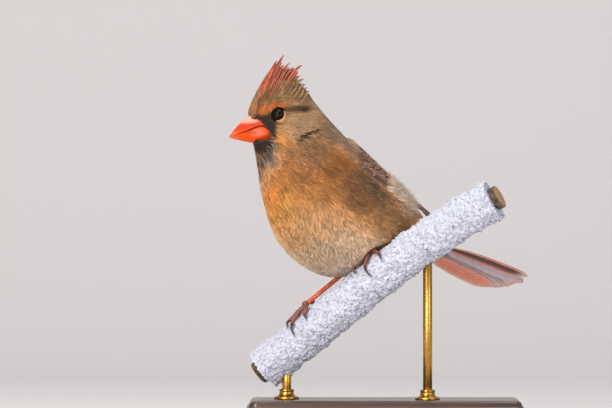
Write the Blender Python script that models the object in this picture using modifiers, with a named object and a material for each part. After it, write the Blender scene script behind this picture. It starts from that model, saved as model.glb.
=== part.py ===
"""A female northern cardinal, life size, on a cut length of snow-crusted branch held by a display stand.

Sizes are in millimetres and are turned to metres where a mesh is made.  X runs along the branch to the
right, Y away from the viewer, Z up, and the origin is the middle of the base's underside.  The bird is
laid out from a pivot in its neck: "forward" and "up" distances lie in its middle plane, which turns
from the heading of the head to the heading of the body.
"""

import math

import bmesh
import bpy
import numpy as np
from mathutils import Matrix, Vector

MM = 0.001
GAP = 0.3
SHARP_ANGLE = math.radians(40)

# The neck pivot above the middle of the base's underside, and the two headings in degrees, turned
# from -X towards the viewer.
PIVOT = np.array([-46.0, -24.0, 145.0])
HEAD_HEADING = 6.0
BODY_HEADING = 42.0
TAIL_ROLL = 15.0

UP = np.array([0.0, 0.0, 1.0])

# Sections of the plumage from the base of the bill to the end of the tail coverts.  Each row holds the
# share of the turn to the body's heading, the dorsal point (forward, up), the ventral point
# (forward, up), the half width, the widest level as a share of the depth, and the fullness of the
# upper half (2 is an ellipse, less is peaked, more is square).
BODY_SECTIONS = np.array([
    (0.00, 28.6, 19.0, 25.4, 3.3, 5.2, 0.50, 2.0),
    (0.00, 28.0, 24.2, 24.4, -0.5, 6.2, 0.52, 2.0),
    (0.00, 26.0, 29.6, 23.8, -4.0, 7.0, 0.52, 1.9),
    (0.00, 22.3, 34.3, 23.2, -7.5, 7.8, 0.50, 1.8),
    (0.00, 15.0, 38.0, 22.6, -11.5, 9.8, 0.46, 1.7),
    (0.03, 5.5, 37.6, 22.0, -16.5, 12.6, 0.46, 1.7),
    (0.12, -3.0, 31.8, 21.0, -22.5, 16.0, 0.48, 1.8),
    (0.32, -9.8, 22.8, 19.0, -30.0, 20.0, 0.50, 1.9),
    (0.62, -19.0, 12.7, 15.5, -39.0, 24.5, 0.50, 2.0),
    (0.88, -30.0, 3.4, 9.8, -47.4, 28.5, 0.50, 2.0),
    (1.00, -42.0, -5.4, 1.4, -55.8, 31.5, 0.50, 2.0),
    (1.00, -53.0, -14.0, -9.8, -63.4, 33.0, 0.48, 2.0),
    (1.00, -63.0, -22.4, -24.5, -68.6, 32.5, 0.46, 2.0),
    (1.00, -71.5, -30.4, -40.0, -66.5, 29.5, 0.44, 2.1),
    (1.00, -79.5, -37.6, -56.0, -60.5, 22.5, 0.45, 2.1),
    (1.00, -87.5, -43.2, -71.0, -57.8, 16.0, 0.46, 2.0),
    (1.00, -94.5, -46.8, -84.0, -56.8, 11.5, 0.48, 2.0),
    (1.00, -100.0, -49.2, -95.0, -56.6, 9.5, 0.50, 2.0),
])
LAST_SECTION = len(BODY_SECTIONS) - 1
ROLL_STARTS_AT = 8.0
NECK_STARTS_AT = 6.3
TORSO_STARTS_AT = 8.3
# Part of a section left out between two blocks of plumage, which is about the gap of 0.3 mm.
GAP_BETWEEN_BLOCKS = 0.04
RING_POINTS = 36

# The folded wings lie on a sleeve sunk a little into the flanks, which then runs straight on.
FLANK_DEPTH = 2.0
SLEEVE_SECTIONS = np.vstack([
    BODY_SECTIONS[:12],
    (1.00, -64.5, -21.8, -24.0, -69.5, 31.0, 0.46, 2.0),
    (1.00, -76.5, -29.2, -42.0, -69.5, 26.5, 0.46, 2.0),
    (1.00, -88.5, -36.4, -58.0, -65.0, 20.0, 0.46, 2.0),
    (1.00, -100.5, -43.4, -74.0, -61.0, 14.0, 0.46, 2.0),
    (1.00, -112.5, -50.4, -90.0, -60.0, 10.0, 0.46, 2.0),
])
SLEEVE_SECTIONS[8:13, 5] -= FLANK_DEPTH

# Bill sections from the tip: culmen (forward, up), gonys (forward, up) and half width.
BILL_SECTIONS = np.array([
    (38.4, 7.2, 38.1, 6.5, 0.45),
    (37.0, 10.4, 36.0, 5.9, 2.0),
    (34.3, 13.9, 32.5, 5.1, 3.7),
    (31.0, 16.7, 28.8, 4.3, 5.2),
    (27.3, 18.9, 25.0, 3.6, 6.5),
    (22.8, 19.6, 20.5, 3.8, 7.4),
    (18.0, 18.4, 16.6, 4.4, 8.0),
    (13.8, 15.5, 13.4, 6.0, 7.4),
])
# The line of the mouth from past the tip to inside the head, with its bend near the gape.
MOUTH_LINE = (
    (42.0, 6.0),
    (38.0, 7.2),
    (32.4, 9.0),
    (28.2, 10.4),
    (25.7, 11.5),
    (22.4, 12.8),
    (20.2, 12.6),
    (17.6, 11.0),
    (10.0, 5.0),
)
# The edge of the face's plumage round the bill, from the forehead past the gape to the chin.
FACE_EDGE = (
    (28.0, 19.3),
    (24.9, 16.9),
    (22.2, 15.6),
    (20.1, 13.0),
    (17.9, 11.6),
    (17.0, 8.6),
    (15.8, 6.2),
    (17.0, 5.0),
    (23.4, 5.0),
    (25.6, 3.3),
)
AHEAD_OF_FACE = ((46.0, -2.0), (46.0, 24.0), (29.5, 24.0))
HEAD_PRISM_HALF = 14.0
HEAD_PRISM_REACH = 30.0
NOSTRIL = (25.4, 16.2)
NOSTRIL_OUT = 4.6
NOSTRIL_RADIUS = 0.8

EYE_PLACE = (12.5, 18.7)
EYE_OUT = 8.5
EYE_RADIUS = 3.6
LID_RADIUS = 3.8
LID_OUT = 2.2
LID_THICKNESS = 0.5

# The crest: roots run back over the crown, and tips rise to the top and then fall behind it.
CREST_ROOTS = ((24.5, 28.0), (21.0, 32.0), (17.0, 34.5), (12.5, 36.0), (8.0, 36.5), (3.5, 35.0))
CREST_TIPS = ((11.4, 49.7), (7.6, 52.4), (3.0, 49.0), (-1.6, 46.1), (0.2, 38.8), (-5.0, 32.6))
CREST_CORE_FRONT = (22.0, 31.0)
CREST_CORE_BACK = (5.0, 34.0)
CREST_CORE_TIP = (15.0, 42.5)
CREST_CORE_HALF_WIDTH = 5.0
CREST_HALF_WIDTH = 2.1
CREST_MIDDLE_HALF_WIDTH = 1.7
CREST_SIDE_LENGTHS = (0.88, 0.82)
CREST_SPREAD = 3.4
CREST_GATHER = 0.65
CREST_LEAN = 1.4
CREST_BEND = 0.12

# Half width of a flight feather, as a share of its widest, at shares of its length.
FEATHER_OUTLINE = ((0.0, 0.45), (0.25, 0.85), (0.55, 1.0), (0.8, 0.95), (0.93, 0.7), (1.0, 0.16))
COVERT_OUTLINE = ((0.0, 0.7), (0.5, 1.0), (0.85, 0.8), (1.0, 0.3))
CREST_OUTLINE = ((0.0, 0.8), (0.35, 1.0), (0.7, 0.72), (1.0, 0.14))
VANE_THICKNESS = 0.5

# The plate under the wing's feathers, which ends where the long feathers run on free, and the room that
# the whole wing takes up.  Both: section number, upper angle, lower angle and thickness.
WING_LIFT = 0.6
WING_PLATE = (
    (8.8, 44, 54, 0.6),
    (9.5, 34, 58, 1.2),
    (10.3, 27, 57, 1.3),
    (11.2, 22, 52, 1.2),
    (12.2, 17, 45, 1.0),
    (13.0, 14, 39, 0.6),
)
WING_ROOM = (
    (8.4, 34, 64, 1),
    (9.2, 24, 68, 1),
    (10.2, 17, 67, 1),
    (11.2, 12, 63, 1),
    (12.2, 7, 57, 1),
    (13.2, 3, 50, 1),
    (14.2, 0, 42, 1),
    (15.6, -4, 32, 1),
)
WING_ROOM_HEIGHT = 9.0
# Tiers of wing feathers from the lowest to the uppermost: how many, the section and the angles of the
# first and last root, the same for the tips, half width, and height over the sleeve at root and tip.
WING_TIERS = (
    (6, 11.0, (38, 54), 15.05, 14.0, (7, 19), 2.7, 1.2, 1.0),
    (4, 10.3, (34, 54), 13.3, 12.9, (18, 34), 3.2, 1.5, 1.6),
    (3, 9.8, (31, 42), 12.9, 11.9, (16, 27), 3.9, 1.9, 2.1),
    (6, 9.4, (31, 57), 10.9, 10.7, (27, 54), 3.1, 1.6, 2.5),
    (5, 8.95, (36, 57), 9.85, 9.75, (32, 57), 3.0, 1.4, 2.6),
)
SHINGLE_TILT = 0.14

TAIL_ROOT = (-97.8, -52.6)
TAIL_DROOP = 18.3
TAIL_BLOCK = (6.5, 5.6, 3.1)
# The tail's feathers from the middle pair to the outer pair: length and how far the tip lies aside.
# Each pair lies a pitch below the last, and a pair's left feather a little above and behind its right.
# The fan opens early: a feather is aside by its share of the length to the power of TAIL_OPENING.
TAIL_FEATHERS = ((67.0, 2.2), (67.0, 4.8), (66.5, 7.3), (65.0, 9.7), (62.5, 11.9), (59.0, 13.8))
TAIL_OPENING = 0.35
TAIL_HALF_WIDTH = 5.2
TAIL_ROOT_ASIDE = 0.6
TAIL_ROOT_SPREAD = 0.6
TAIL_STARTS_AT = 2.6
TAIL_PITCH = 0.95
TAIL_STEP = 0.11

# The branch's middle line (right, away, up) from the neck pivot; it comes nearer as it rises.
BRANCH_LINE = (
    (-22.7, 21.0, -121.0),
    (0.0, 14.7, -103.2),
    (22.1, 8.8, -85.3),
    (45.4, 2.5, -66.4),
    (68.0, -3.6, -49.7),
    (91.8, -10.0, -34.0),
    (108.0, -14.4, -24.8),
)
BRANCH_LENGTH = 166.0
BRANCH_RADIUS = 6.4
BRANCH_POINTS = 18
SNOW_RADIUS = 11.4
SNOW_SET_BACK = 4.0
# The belly's plumage keeps this far from the crust, and further round each foot.
BELLY_CLEARANCE = 0.9
FOOT_HOLLOW_DEPTH = 3.6
FOOT_HOLLOW_WIDTH = 7.0

# Where each foot stands: distance from the branch's lower end, and angle over the branch from its upper
# edge towards the viewer.
FOOT_PLACES = {"right": (45.0, 20.0), "left": (91.0, 8.0)}
FOOT_RADIUS = 2.0
# Toes of each foot: distance along the branch and angle over it at the root, the middle and the end of
# the toe, then at the middle and the tip of the claw.
TOES = {
    "right": (
        ((45.0, 18), (39.0, 20), (33.5, 25), (31.2, 33), (29.8, 44)),
        ((45.0, 22), (40.0, 26), (34.6, 42), (32.0, 64), (31.2, 82)),
        ((45.5, 24), (44.5, 38), (42.6, 48), (42.0, 56), (42.2, 64)),
        ((45.5, 8), (48.0, -32), (49.5, -62), (49.2, -80), (48.2, -98)),
    ),
    "left": (
        ((91.0, 8), (85.8, 18), (80.8, 28), (78.8, 38), (78.0, 50)),
        ((91.0, 10), (88.3, 28), (85.4, 48), (84.4, 70), (85.4, 88)),
        ((91.5, 10), (93.3, 26), (94.8, 44), (95.0, 56), (94.4, 68)),
        ((91.0, -4), (92.3, -40), (93.3, -66), (93.0, -84), (92.0, -100)),
    ),
}
TOE_RADIUS = 1.25
TOE_TIP_RADIUS = 0.85
CLAW_TIP_RADIUS = 0.3
# The joint above each bare leg (right, away, up) from the neck pivot, inside the belly's plumage.
ANKLES = {"right": (21.5, 22.0, -68.5), "left": (44.0, 14.0, -40.0)}
LEG_RADIUS = 1.15
LEG_END_RADII = (1.35, 1.5)

BASE_SIZE = (150.0, 110.0, 10.0)
BASE_BEVEL = 2.0
ROD_RADIUS = 2.5
# Where the rods meet the branch: distances from its lower end.
ROD_PLACES = {"stand_rod_low": 20.0, "stand_rod_high": 119.0}


def fresh_scene():
    for obj in list(bpy.data.objects):
        bpy.data.objects.remove(obj)
    parts = bpy.data.collections.new("cardinal")
    bpy.context.scene.collection.children.link(parts)
    return parts


PARTS = fresh_scene()


def finish(name, colour, roughness, metallic=0.0):
    made = bpy.data.materials.new(name)
    made.use_nodes = True
    shader = made.node_tree.nodes["Principled BSDF"]
    shader.inputs["Base Color"].default_value = (*colour, 1.0)
    shader.inputs["Roughness"].default_value = roughness
    shader.inputs["Metallic"].default_value = metallic
    return made


BUFF = finish("buff plumage", (0.36, 0.20, 0.10), 0.9)
WING_BROWN = finish("red-edged flight feathers", (0.25, 0.10, 0.06), 0.7)
BILL_ORANGE = finish("orange bill horn", (0.80, 0.16, 0.04), 0.35)
EYE_BLACK = finish("dark brown eye", (0.01, 0.008, 0.007), 0.05)
LEG_BROWN = finish("red-brown leg scales", (0.22, 0.06, 0.04), 0.5)
BARK = finish("grey-brown bark", (0.12, 0.09, 0.07), 0.9)
SNOW = finish("frozen snow", (0.85, 0.88, 0.93), 0.6)
BASE_WOOD = finish("dark lacquered wood", (0.05, 0.03, 0.02), 0.35)
ROD_BRASS = finish("brass rod", (0.70, 0.50, 0.22), 0.3, 1.0)


def spline_rows(rows, places):
    """Reads a table of rows at fractional row numbers along a smooth curve through the rows."""
    rows = np.asarray(rows, float)
    places = np.atleast_1d(np.asarray(places, float))
    last = len(rows) - 1
    first = np.clip(np.floor(places).astype(int), 0, last - 1)
    t = (places - first)[:, None]
    before, start = rows[np.clip(first - 1, 0, last)], rows[first]
    end, after = rows[first + 1], rows[np.clip(first + 2, 0, last)]
    return 0.5 * (
        2 * start
        + (end - before) * t
        + (2 * before - 5 * start + 4 * end - after) * t**2
        + (3 * start - before - 3 * end + after) * t**3
    )


def facing(heading):
    """The forward and left directions of a bird with this heading, in degrees."""
    turn = np.radians(heading)
    forward = np.stack([-np.cos(turn), -np.sin(turn), 0 * turn], -1)
    left = np.stack([np.sin(turn), -np.cos(turn), 0 * turn], -1)
    return forward, left


def bird_point(forward, left, up, heading):
    ahead, aside = facing(np.float64(heading))
    return PIVOT + forward * ahead + left * aside + up * UP


def skin_points(sections, places, angles, lift=0.0):
    """Points of a plumage surface: places are section numbers, angles run from the back (0) over the
    bird's left side, and lift widens each section."""
    places, angles, lift = np.broadcast_arrays(
        np.asarray(places, float), np.asarray(angles, float), np.asarray(lift, float)
    )
    shape = places.shape
    places, angles, lift = places.ravel(), angles.ravel(), lift.ravel()
    rows = spline_rows(sections, places)
    turn = np.clip(rows[:, 0], 0, 1)
    forward, left = facing(HEAD_HEADING + (BODY_HEADING - HEAD_HEADING) * turn)
    dorsal = rows[:, 1:2] * forward + rows[:, 2:3] * UP
    ventral = rows[:, 3:4] * forward + rows[:, 4:5] * UP
    depth = np.linalg.norm(ventral - dorsal, axis=1, keepdims=True)
    rise = (dorsal - ventral) / depth
    middle = ventral + rise * depth * (1 - rows[:, 6:7])
    share = np.clip((places - ROLL_STARTS_AT) / (LAST_SECTION - ROLL_STARTS_AT), 0, 1)
    roll = np.radians(TAIL_ROLL * share**1.5)[:, None]
    rise, left = rise * np.cos(roll) - left * np.sin(roll), left * np.cos(roll) + rise * np.sin(roll)
    c, s = np.cos(angles), np.sin(angles)
    power = np.where(c > 0, 2 / rows[:, 7], 1.0)
    c = np.sign(c) * np.abs(c) ** power
    s = np.sign(s) * np.abs(s) ** power
    reach = np.where(c > 0, depth[:, 0] * rows[:, 6], depth[:, 0] * (1 - rows[:, 6])) + lift
    points = middle + rise * (c * reach)[:, None] + left * (s * (rows[:, 5] + lift))[:, None]
    return (PIVOT + points).reshape(*shape, 3)


def add_object(name, mesh, material=None):
    """Adds a mesh as an object: a node when it has a material, or else a piece to be combined."""
    obj = bpy.data.objects.new(name, mesh)
    PARTS.objects.link(obj)
    mesh.materials.clear()
    if material:
        mesh.materials.append(material)
    return obj


def mesh_of(points, faces):
    mesh = bpy.data.meshes.new("piece")
    mesh.from_pydata([tuple(p) for p in np.asarray(points) * MM], [], faces)
    return mesh


def face_outwards(mesh):
    work = bmesh.new()
    work.from_mesh(mesh)
    bmesh.ops.recalc_face_normals(work, faces=work.faces)
    work.to_mesh(mesh)
    work.free()
    return mesh


def loft(rings):
    """A closed mesh through rings of equal counts, with a face across each end."""
    rings = np.asarray(rings)
    count, around = rings.shape[:2]
    faces = []
    for i in range(count - 1):
        for j in range(around):
            k = (j + 1) % around
            faces.append((i * around + j, i * around + k, (i + 1) * around + k, (i + 1) * around + j))
    faces.append(tuple(range(around))[::-1])
    faces.append(tuple(range((count - 1) * around, count * around)))
    return face_outwards(mesh_of(rings.reshape(-1, 3), faces))


def vane(middles, normals, half_widths, tilt=0.0, thickness=VANE_THICKNESS):
    """A closed, flat feather along a line of points.  Tilt raises one long edge over the other.  Both
    faces are split into triangles alike, so that they don't cross where the feather curves."""
    middles, normals = np.asarray(middles), np.asarray(normals)
    way = np.gradient(middles, axis=0)
    across = np.cross(normals, way)
    across /= np.linalg.norm(across, axis=1, keepdims=True)
    over = np.cross(way, across)
    over /= np.linalg.norm(over, axis=1, keepdims=True)
    half = np.asarray(half_widths)[:, None]
    left = middles + across * half + over * tilt * half
    right = middles - across * half - over * tilt * half
    rise = over * thickness / 2
    rings = np.stack([left + rise, right + rise, right - rise, left - rise], axis=1)
    faces = [(0, 1, 2, 3)]
    for i in range(len(middles) - 1):
        a, b = 4 * i, 4 * i + 4
        faces += [(a, b + 1, a + 1), (a, b, b + 1), (a + 3, a + 2, b + 2), (a + 3, b + 2, b + 3)]
        faces += [(a + 1, b + 1, b + 2, a + 2), (a + 3, b + 3, b, a)]
    last = 4 * len(middles) - 4
    faces.append((last + 3, last + 2, last + 1, last))
    return face_outwards(mesh_of(rings.reshape(-1, 3), faces))


def outline_widths(outline, widest):
    shares, widths = np.array(outline).T
    return shares, widths * widest


def evaluated_mesh(obj):
    bpy.context.view_layer.update()
    graph = bpy.context.evaluated_depsgraph_get()
    return bpy.data.meshes.new_from_object(obj.evaluated_get(graph))


def made_mesh(obj):
    """Replaces an object that has modifiers, or is a curve, by a mesh object with its caps welded."""
    mesh = evaluated_mesh(obj)
    work = bmesh.new()
    work.from_mesh(mesh)
    bmesh.ops.transform(work, matrix=obj.matrix_world, verts=work.verts)
    bmesh.ops.remove_doubles(work, verts=work.verts, dist=0.01 * MM)
    bmesh.ops.recalc_face_normals(work, faces=work.faces)
    work.to_mesh(mesh)
    work.free()
    bpy.data.objects.remove(obj)
    return add_object("piece", mesh)


def add_node(name, piece, material):
    """Turns one finished piece into a node."""
    mesh = piece.data
    bpy.data.objects.remove(piece)
    mesh.shade_smooth()
    mesh.set_sharp_from_angle(angle=SHARP_ANGLE)
    add_object(name, mesh, material)


def ball(radius, frame, segments=16, ring_count=10):
    bpy.ops.mesh.primitive_uv_sphere_add(segments=segments, ring_count=ring_count, radius=radius * MM)
    bpy.context.object.matrix_world = frame
    return made_mesh(bpy.context.object)


def keep_largest(mesh):
    """Keeps the closed surface that holds the most, which drops scraps and fills sealed hollows."""
    work = bmesh.new()
    work.from_mesh(mesh)
    left = set(work.faces)
    shells = []
    while left:
        shell, edge = set(), [left.pop()]
        while edge:
            face = edge.pop()
            shell.add(face)
            near = {f for e in face.edges for f in e.link_faces} & left
            left -= near
            edge.extend(near)
        shells.append(shell)

    def volume(shell):
        total = 0.0
        for face in shell:
            a = face.verts[0].co
            for b, c in zip(face.verts[1:-1], face.verts[2:]):
                total += a.dot(b.co.cross(c.co))
        return abs(total)

    best = max(shells, key=volume)
    drop = [f for f in work.faces if f not in best]
    bmesh.ops.delete(work, geom=drop, context="FACES")
    work.to_mesh(mesh)
    work.free()
    return mesh


def combine(first, others, operation="UNION"):
    """Joins other closed pieces to the first, or cuts them from it, and gives the one piece left."""
    helpers = bpy.data.collections.new("helpers")
    bpy.context.scene.collection.children.link(helpers)
    for other in others:
        for owner in list(other.users_collection):
            owner.objects.unlink(other)
        helpers.objects.link(other)
    boolean = first.modifiers.new("combine", "BOOLEAN")
    boolean.operand_type = "COLLECTION"
    boolean.collection = helpers
    boolean.operation = operation
    mesh = keep_largest(evaluated_mesh(first))
    for obj in [first, *others]:
        bpy.data.objects.remove(obj)
    bpy.data.collections.remove(helpers)
    return add_object("piece", mesh)


def branch_points(places):
    """Points of the branch's middle line, and its direction, at distances from its lower end."""
    fine = spline_rows(BRANCH_LINE, np.linspace(0, len(BRANCH_LINE) - 1, 400))
    along = np.concatenate([[0], np.cumsum(np.linalg.norm(np.diff(fine, axis=0), axis=1))])
    places = np.atleast_1d(np.asarray(places, float))
    points, ahead, behind = (
        np.stack([np.interp(places + step, along, fine[:, i]) for i in range(3)], -1) for step in (0, 1, -1)
    )
    way = ahead - behind
    return PIVOT + points, way / np.linalg.norm(way, axis=1, keepdims=True)


def on_perch(place, angle, height):
    """A point over the branch: the angle runs from its upper edge (0) to the viewer's side (90)."""
    centre, way = branch_points(place)
    rise = UP - way[0] * way[0][2]
    rise /= np.linalg.norm(rise)
    near = np.cross(rise, way[0])
    near *= 1.0 if near[1] < 0 else -1.0
    turn = math.radians(angle)
    return centre[0] + height * (math.cos(turn) * rise + math.sin(turn) * near)


def clear_of_perch(points):
    """Moves plumage points out of the branch, its crust and the feet on it."""
    shape = points.shape
    points = points.reshape(-1, 3).copy()
    places = np.arange(0.0, BRANCH_LENGTH, 0.5)
    line, _ = branch_points(places)
    for i, point in enumerate(points):
        away = point - line
        distance = np.linalg.norm(away, axis=1)
        near = distance.argmin()
        foot = min(abs(places[near] - place) for place, _ in FOOT_PLACES.values())
        hollow = FOOT_HOLLOW_DEPTH * math.exp(-((foot / FOOT_HOLLOW_WIDTH) ** 2))
        room = SNOW_RADIUS + BELLY_CLEARANCE + hollow
        if distance[near] < room:
            points[i] = line[near] + away[near] / distance[near] * room
    return points.reshape(shape)


def plumage_block(start, end, rings):
    places = np.linspace(start, end, rings)[:, None]
    angles = np.linspace(0, 2 * np.pi, RING_POINTS, endpoint=False)[None, :]
    return add_object("piece", loft(clear_of_perch(skin_points(BODY_SECTIONS, places, angles))))


def bill_rings(grow, back=0.0, count=13, around=20):
    """Rings of the bill, each widened by grow, with one more further back if asked for."""
    rows = spline_rows(BILL_SECTIONS, np.linspace(0, len(BILL_SECTIONS) - 1, count))
    if back:
        rows = np.vstack([rows, rows[-1] - np.array([back, 0, back, 0, 0])])
    forward, left = facing(np.full(len(rows), HEAD_HEADING))
    upper = rows[:, 0:1] * forward + rows[:, 1:2] * UP
    lower = rows[:, 2:3] * forward + rows[:, 3:4] * UP
    depth = np.linalg.norm(upper - lower, axis=1, keepdims=True)
    rise = (upper - lower) / depth
    turn = np.linspace(0, 2 * np.pi, around, endpoint=False)
    high = (depth / 2 + grow)[:, :, None] * np.cos(turn)[None, :, None]
    wide = (rows[:, 4:5] + grow)[:, :, None] * np.sin(turn)[None, :, None]
    return PIVOT + ((upper + lower) / 2)[:, None] + rise[:, None] * high + left[:, None] * wide


def head_frame(forward, left, up):
    """Places an object's own X forward, Y left and Z up at a point of the head."""
    ahead, aside = facing(np.float64(HEAD_HEADING))
    place = bird_point(forward, left, up, HEAD_HEADING) * MM
    turn = Matrix([ahead, aside, UP]).transposed().to_4x4()
    return Matrix.Translation(Vector(place)) @ turn


def head_prism(outline, half):
    """A block across the head whose side view is an outline of (forward, up) points."""
    rings = [[bird_point(x, aside, z, HEAD_HEADING) for x, z in outline] for aside in (-half, half)]
    return add_object("piece", loft(rings))


def side_of_mouth(above):
    """A block of all that lies above, or below, the line of the mouth, and half a gap past it."""
    sign = 1 if above else -1
    line = [(x, z - sign * GAP / 2) for x, z in MOUTH_LINE]
    (first, first_up), (last, last_up) = line[0], line[-1]
    far = [(last, last_up + sign * HEAD_PRISM_REACH), (first, first_up + sign * HEAD_PRISM_REACH)]
    return head_prism([*line, *far], HEAD_PRISM_HALF)


def build_bill():
    forward, up = NOSTRIL
    pits = [
        ball(NOSTRIL_RADIUS, head_frame(forward, side * NOSTRIL_OUT, up), segments=10, ring_count=6)
        for side in (1, -1)
    ]
    whole = add_object("piece", loft(bill_rings(0.0)))
    add_node("bill_upper", combine(whole, [side_of_mouth(above=False), *pits], "DIFFERENCE"), BILL_ORANGE)
    whole = add_object("piece", loft(bill_rings(0.0)))
    add_node("bill_lower", combine(whole, [side_of_mouth(above=True)], "DIFFERENCE"), BILL_ORANGE)


def eyeball(side, radius):
    forward, up = EYE_PLACE
    frame = head_frame(forward, side * EYE_OUT, up) @ Matrix.Rotation(math.radians(90), 4, "X")
    return ball(radius, frame)


def build_eyes():
    add_node("eye_left", eyeball(1, EYE_RADIUS), EYE_BLACK)
    add_node("eye_right", eyeball(-1, EYE_RADIUS), EYE_BLACK)


def crest_core():
    """A low horn that the crest's feathers are rooted on, less than half as high as they are."""
    front, back, tip = (np.array(point) for point in (CREST_CORE_FRONT, CREST_CORE_BACK, CREST_CORE_TIP))
    rings = []
    for t in np.linspace(0, 0.96, 5):
        ahead, behind = front + (tip - front) * t, back + (tip - back) * t
        middle, half = (ahead + behind) / 2, (ahead - behind) / 2
        width = CREST_CORE_HALF_WIDTH * (1 - 0.9 * t)
        ring = []
        for turn in np.linspace(0, 2 * np.pi, 12, endpoint=False):
            spot = middle + half * math.cos(turn)
            ring.append(bird_point(spot[0], width * math.sin(turn), spot[1], HEAD_HEADING))
        rings.append(ring)
    return add_object("piece", loft(rings))


def crest_feather(root, tip, side):
    """A lance-shaped feather that leaves the crown along its lie and bends up to its tip."""
    widest = CREST_HALF_WIDTH if side else CREST_MIDDLE_HALF_WIDTH
    shares, widths = outline_widths(CREST_OUTLINE, widest)
    bend = (root + tip) / 2 + CREST_BEND * np.array((tip[1] - root[1], root[0] - tip[0]))
    middles = []
    for t in shares:
        spot = root * (1 - t) ** 2 + bend * 2 * t * (1 - t) + tip * t**2
        aside = side * CREST_SPREAD * (1 - CREST_GATHER * t)
        middles.append(bird_point(spot[0], aside, spot[1], HEAD_HEADING))
    ahead, left = facing(np.float64(HEAD_HEADING))
    out = side * left + 0.35 * UP if side else 0.8 * ahead + 0.6 * UP
    normals = np.repeat([out], len(middles), axis=0)
    return add_object("piece", vane(middles, normals, widths))


def crest_feathers():
    """Rows of three feathers: the side ones are shorter, and lean back unequally so that tips scatter."""
    feathers = []
    for row, (root, tip) in enumerate(zip(CREST_ROOTS, CREST_TIPS)):
        root, tip = np.array(root), np.array(tip)
        feathers.append(crest_feather(root, tip, 0))
        for side in (-1, 1):
            side_tip = root + (tip - root) * CREST_SIDE_LENGTHS[row % 2]
            side_tip[0] -= CREST_LEAN * (side + 0.5)
            feathers.append(crest_feather(root, side_tip, side))
    return feathers


def lid_ring(side):
    """The rim of the lids, a thick ring that stands clear of the eye."""
    bpy.ops.mesh.primitive_torus_add(
        major_radius=LID_RADIUS * MM, minor_radius=LID_THICKNESS * MM, major_segments=16, minor_segments=6
    )
    ring = bpy.context.object
    place = head_frame(EYE_PLACE[0], side * (EYE_OUT + LID_OUT), EYE_PLACE[1])
    ring.matrix_world = place @ Matrix.Rotation(math.radians(90), 4, "X")
    return made_mesh(ring)


def build_head():
    head = plumage_block(0, NECK_STARTS_AT - GAP_BETWEEN_BLOCKS, 20)
    lids = [lid_ring(side) for side in (1, -1)]
    head = combine(head, [crest_core(), *crest_feathers(), *lids])
    bill_room = add_object("piece", loft(bill_rings(GAP, back=GAP)))
    face_opening = head_prism([*FACE_EDGE, *AHEAD_OF_FACE], HEAD_PRISM_HALF)
    sockets = [eyeball(side, EYE_RADIUS + GAP) for side in (1, -1)]
    add_node("head", combine(head, [bill_room, face_opening, *sockets], "DIFFERENCE"), BUFF)


def wing_patch(side, rows, inner, thickness=None):
    """A closed plate over the sleeve.  Rows hold section number, upper and lower angle, and thickness,
    which thins to the edges unless one thickness is given for all of it."""
    fine = spline_rows(rows, np.linspace(0, len(rows) - 1, 12))
    across = np.linspace(0, 1, 6)[None, :]
    place = np.repeat(fine[:, 0:1], across.shape[1], axis=1)
    angle = np.radians(fine[:, 1:2] + (fine[:, 2:3] - fine[:, 1:2]) * across) * side
    thick = fine[:, 3:4] * (1 - 0.6 * np.abs(2 * across - 1) ** 4)
    if thickness:
        thick = np.full_like(angle, thickness)
    under = skin_points(SLEEVE_SECTIONS, place, angle, inner)
    over = skin_points(SLEEVE_SECTIONS, place, angle, inner + thick)
    return loft(np.concatenate([over, under[:, ::-1]], axis=1))


def sleeve_frame(places, angles, lift):
    """Points at a height over the wings' sleeve, with its outward normals."""
    step = 0.02
    here = skin_points(SLEEVE_SECTIONS, places, angles)
    along = skin_points(SLEEVE_SECTIONS, places + step, angles) - here
    round_it = skin_points(SLEEVE_SECTIONS, places, angles + step) - here
    out = skin_points(SLEEVE_SECTIONS, places, angles, 1.0) - here
    normals = np.cross(along, round_it)
    normals *= np.sign((normals * out).sum(axis=1, keepdims=True))
    normals /= np.linalg.norm(normals, axis=1, keepdims=True)
    return here + normals * np.reshape(lift, (-1, 1)), normals


def wing_feathers(side):
    feathers = []
    for count, root, root_angles, first_tip, last_tip, tip_angles, half, low, high in WING_TIERS:
        for share in np.linspace(0, 1, count):
            shares, widths = outline_widths(FEATHER_OUTLINE if root > 9.5 else COVERT_OUTLINE, half)
            tip = first_tip + (last_tip - first_tip) * share**1.5
            angles = [first + (last - first) * share for first, last in (root_angles, tip_angles)]
            places = root + (tip - root) * shares
            turns = side * np.radians(angles[0] + (angles[1] - angles[0]) * shares)
            middles, normals = sleeve_frame(places, turns, low + (high - low) * shares)
            feathers.append(add_object("piece", vane(middles, normals, widths, side * SHINGLE_TILT)))
    return feathers


def wing_room(side):
    """All that lies above the wing's inner face, a gap below it and a little past its edges."""
    return add_object("piece", wing_patch(side, WING_ROOM, WING_LIFT - GAP, WING_ROOM_HEIGHT))


def build_wings():
    for name, side in (("wing_left", 1), ("wing_right", -1)):
        plate = add_object("piece", wing_patch(side, WING_PLATE, WING_LIFT))
        add_node(name, combine(plate, wing_feathers(side)), WING_BROWN)


def tail_frame():
    """The tail's root, its direction, its left and its upper side."""
    ahead, aside = facing(np.float64(BODY_HEADING))
    droop, roll = math.radians(TAIL_DROOP), math.radians(TAIL_ROLL)
    way = -math.cos(droop) * ahead - math.sin(droop) * UP
    over = np.cross(way, aside)
    over = over * (1.0 if over[2] > 0 else -1.0)
    left = math.cos(roll) * aside + math.sin(roll) * over
    over = math.cos(roll) * over - math.sin(roll) * aside
    root = PIVOT + TAIL_ROOT[0] * ahead + TAIL_ROOT[1] * UP
    return root, way, left, over


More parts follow.
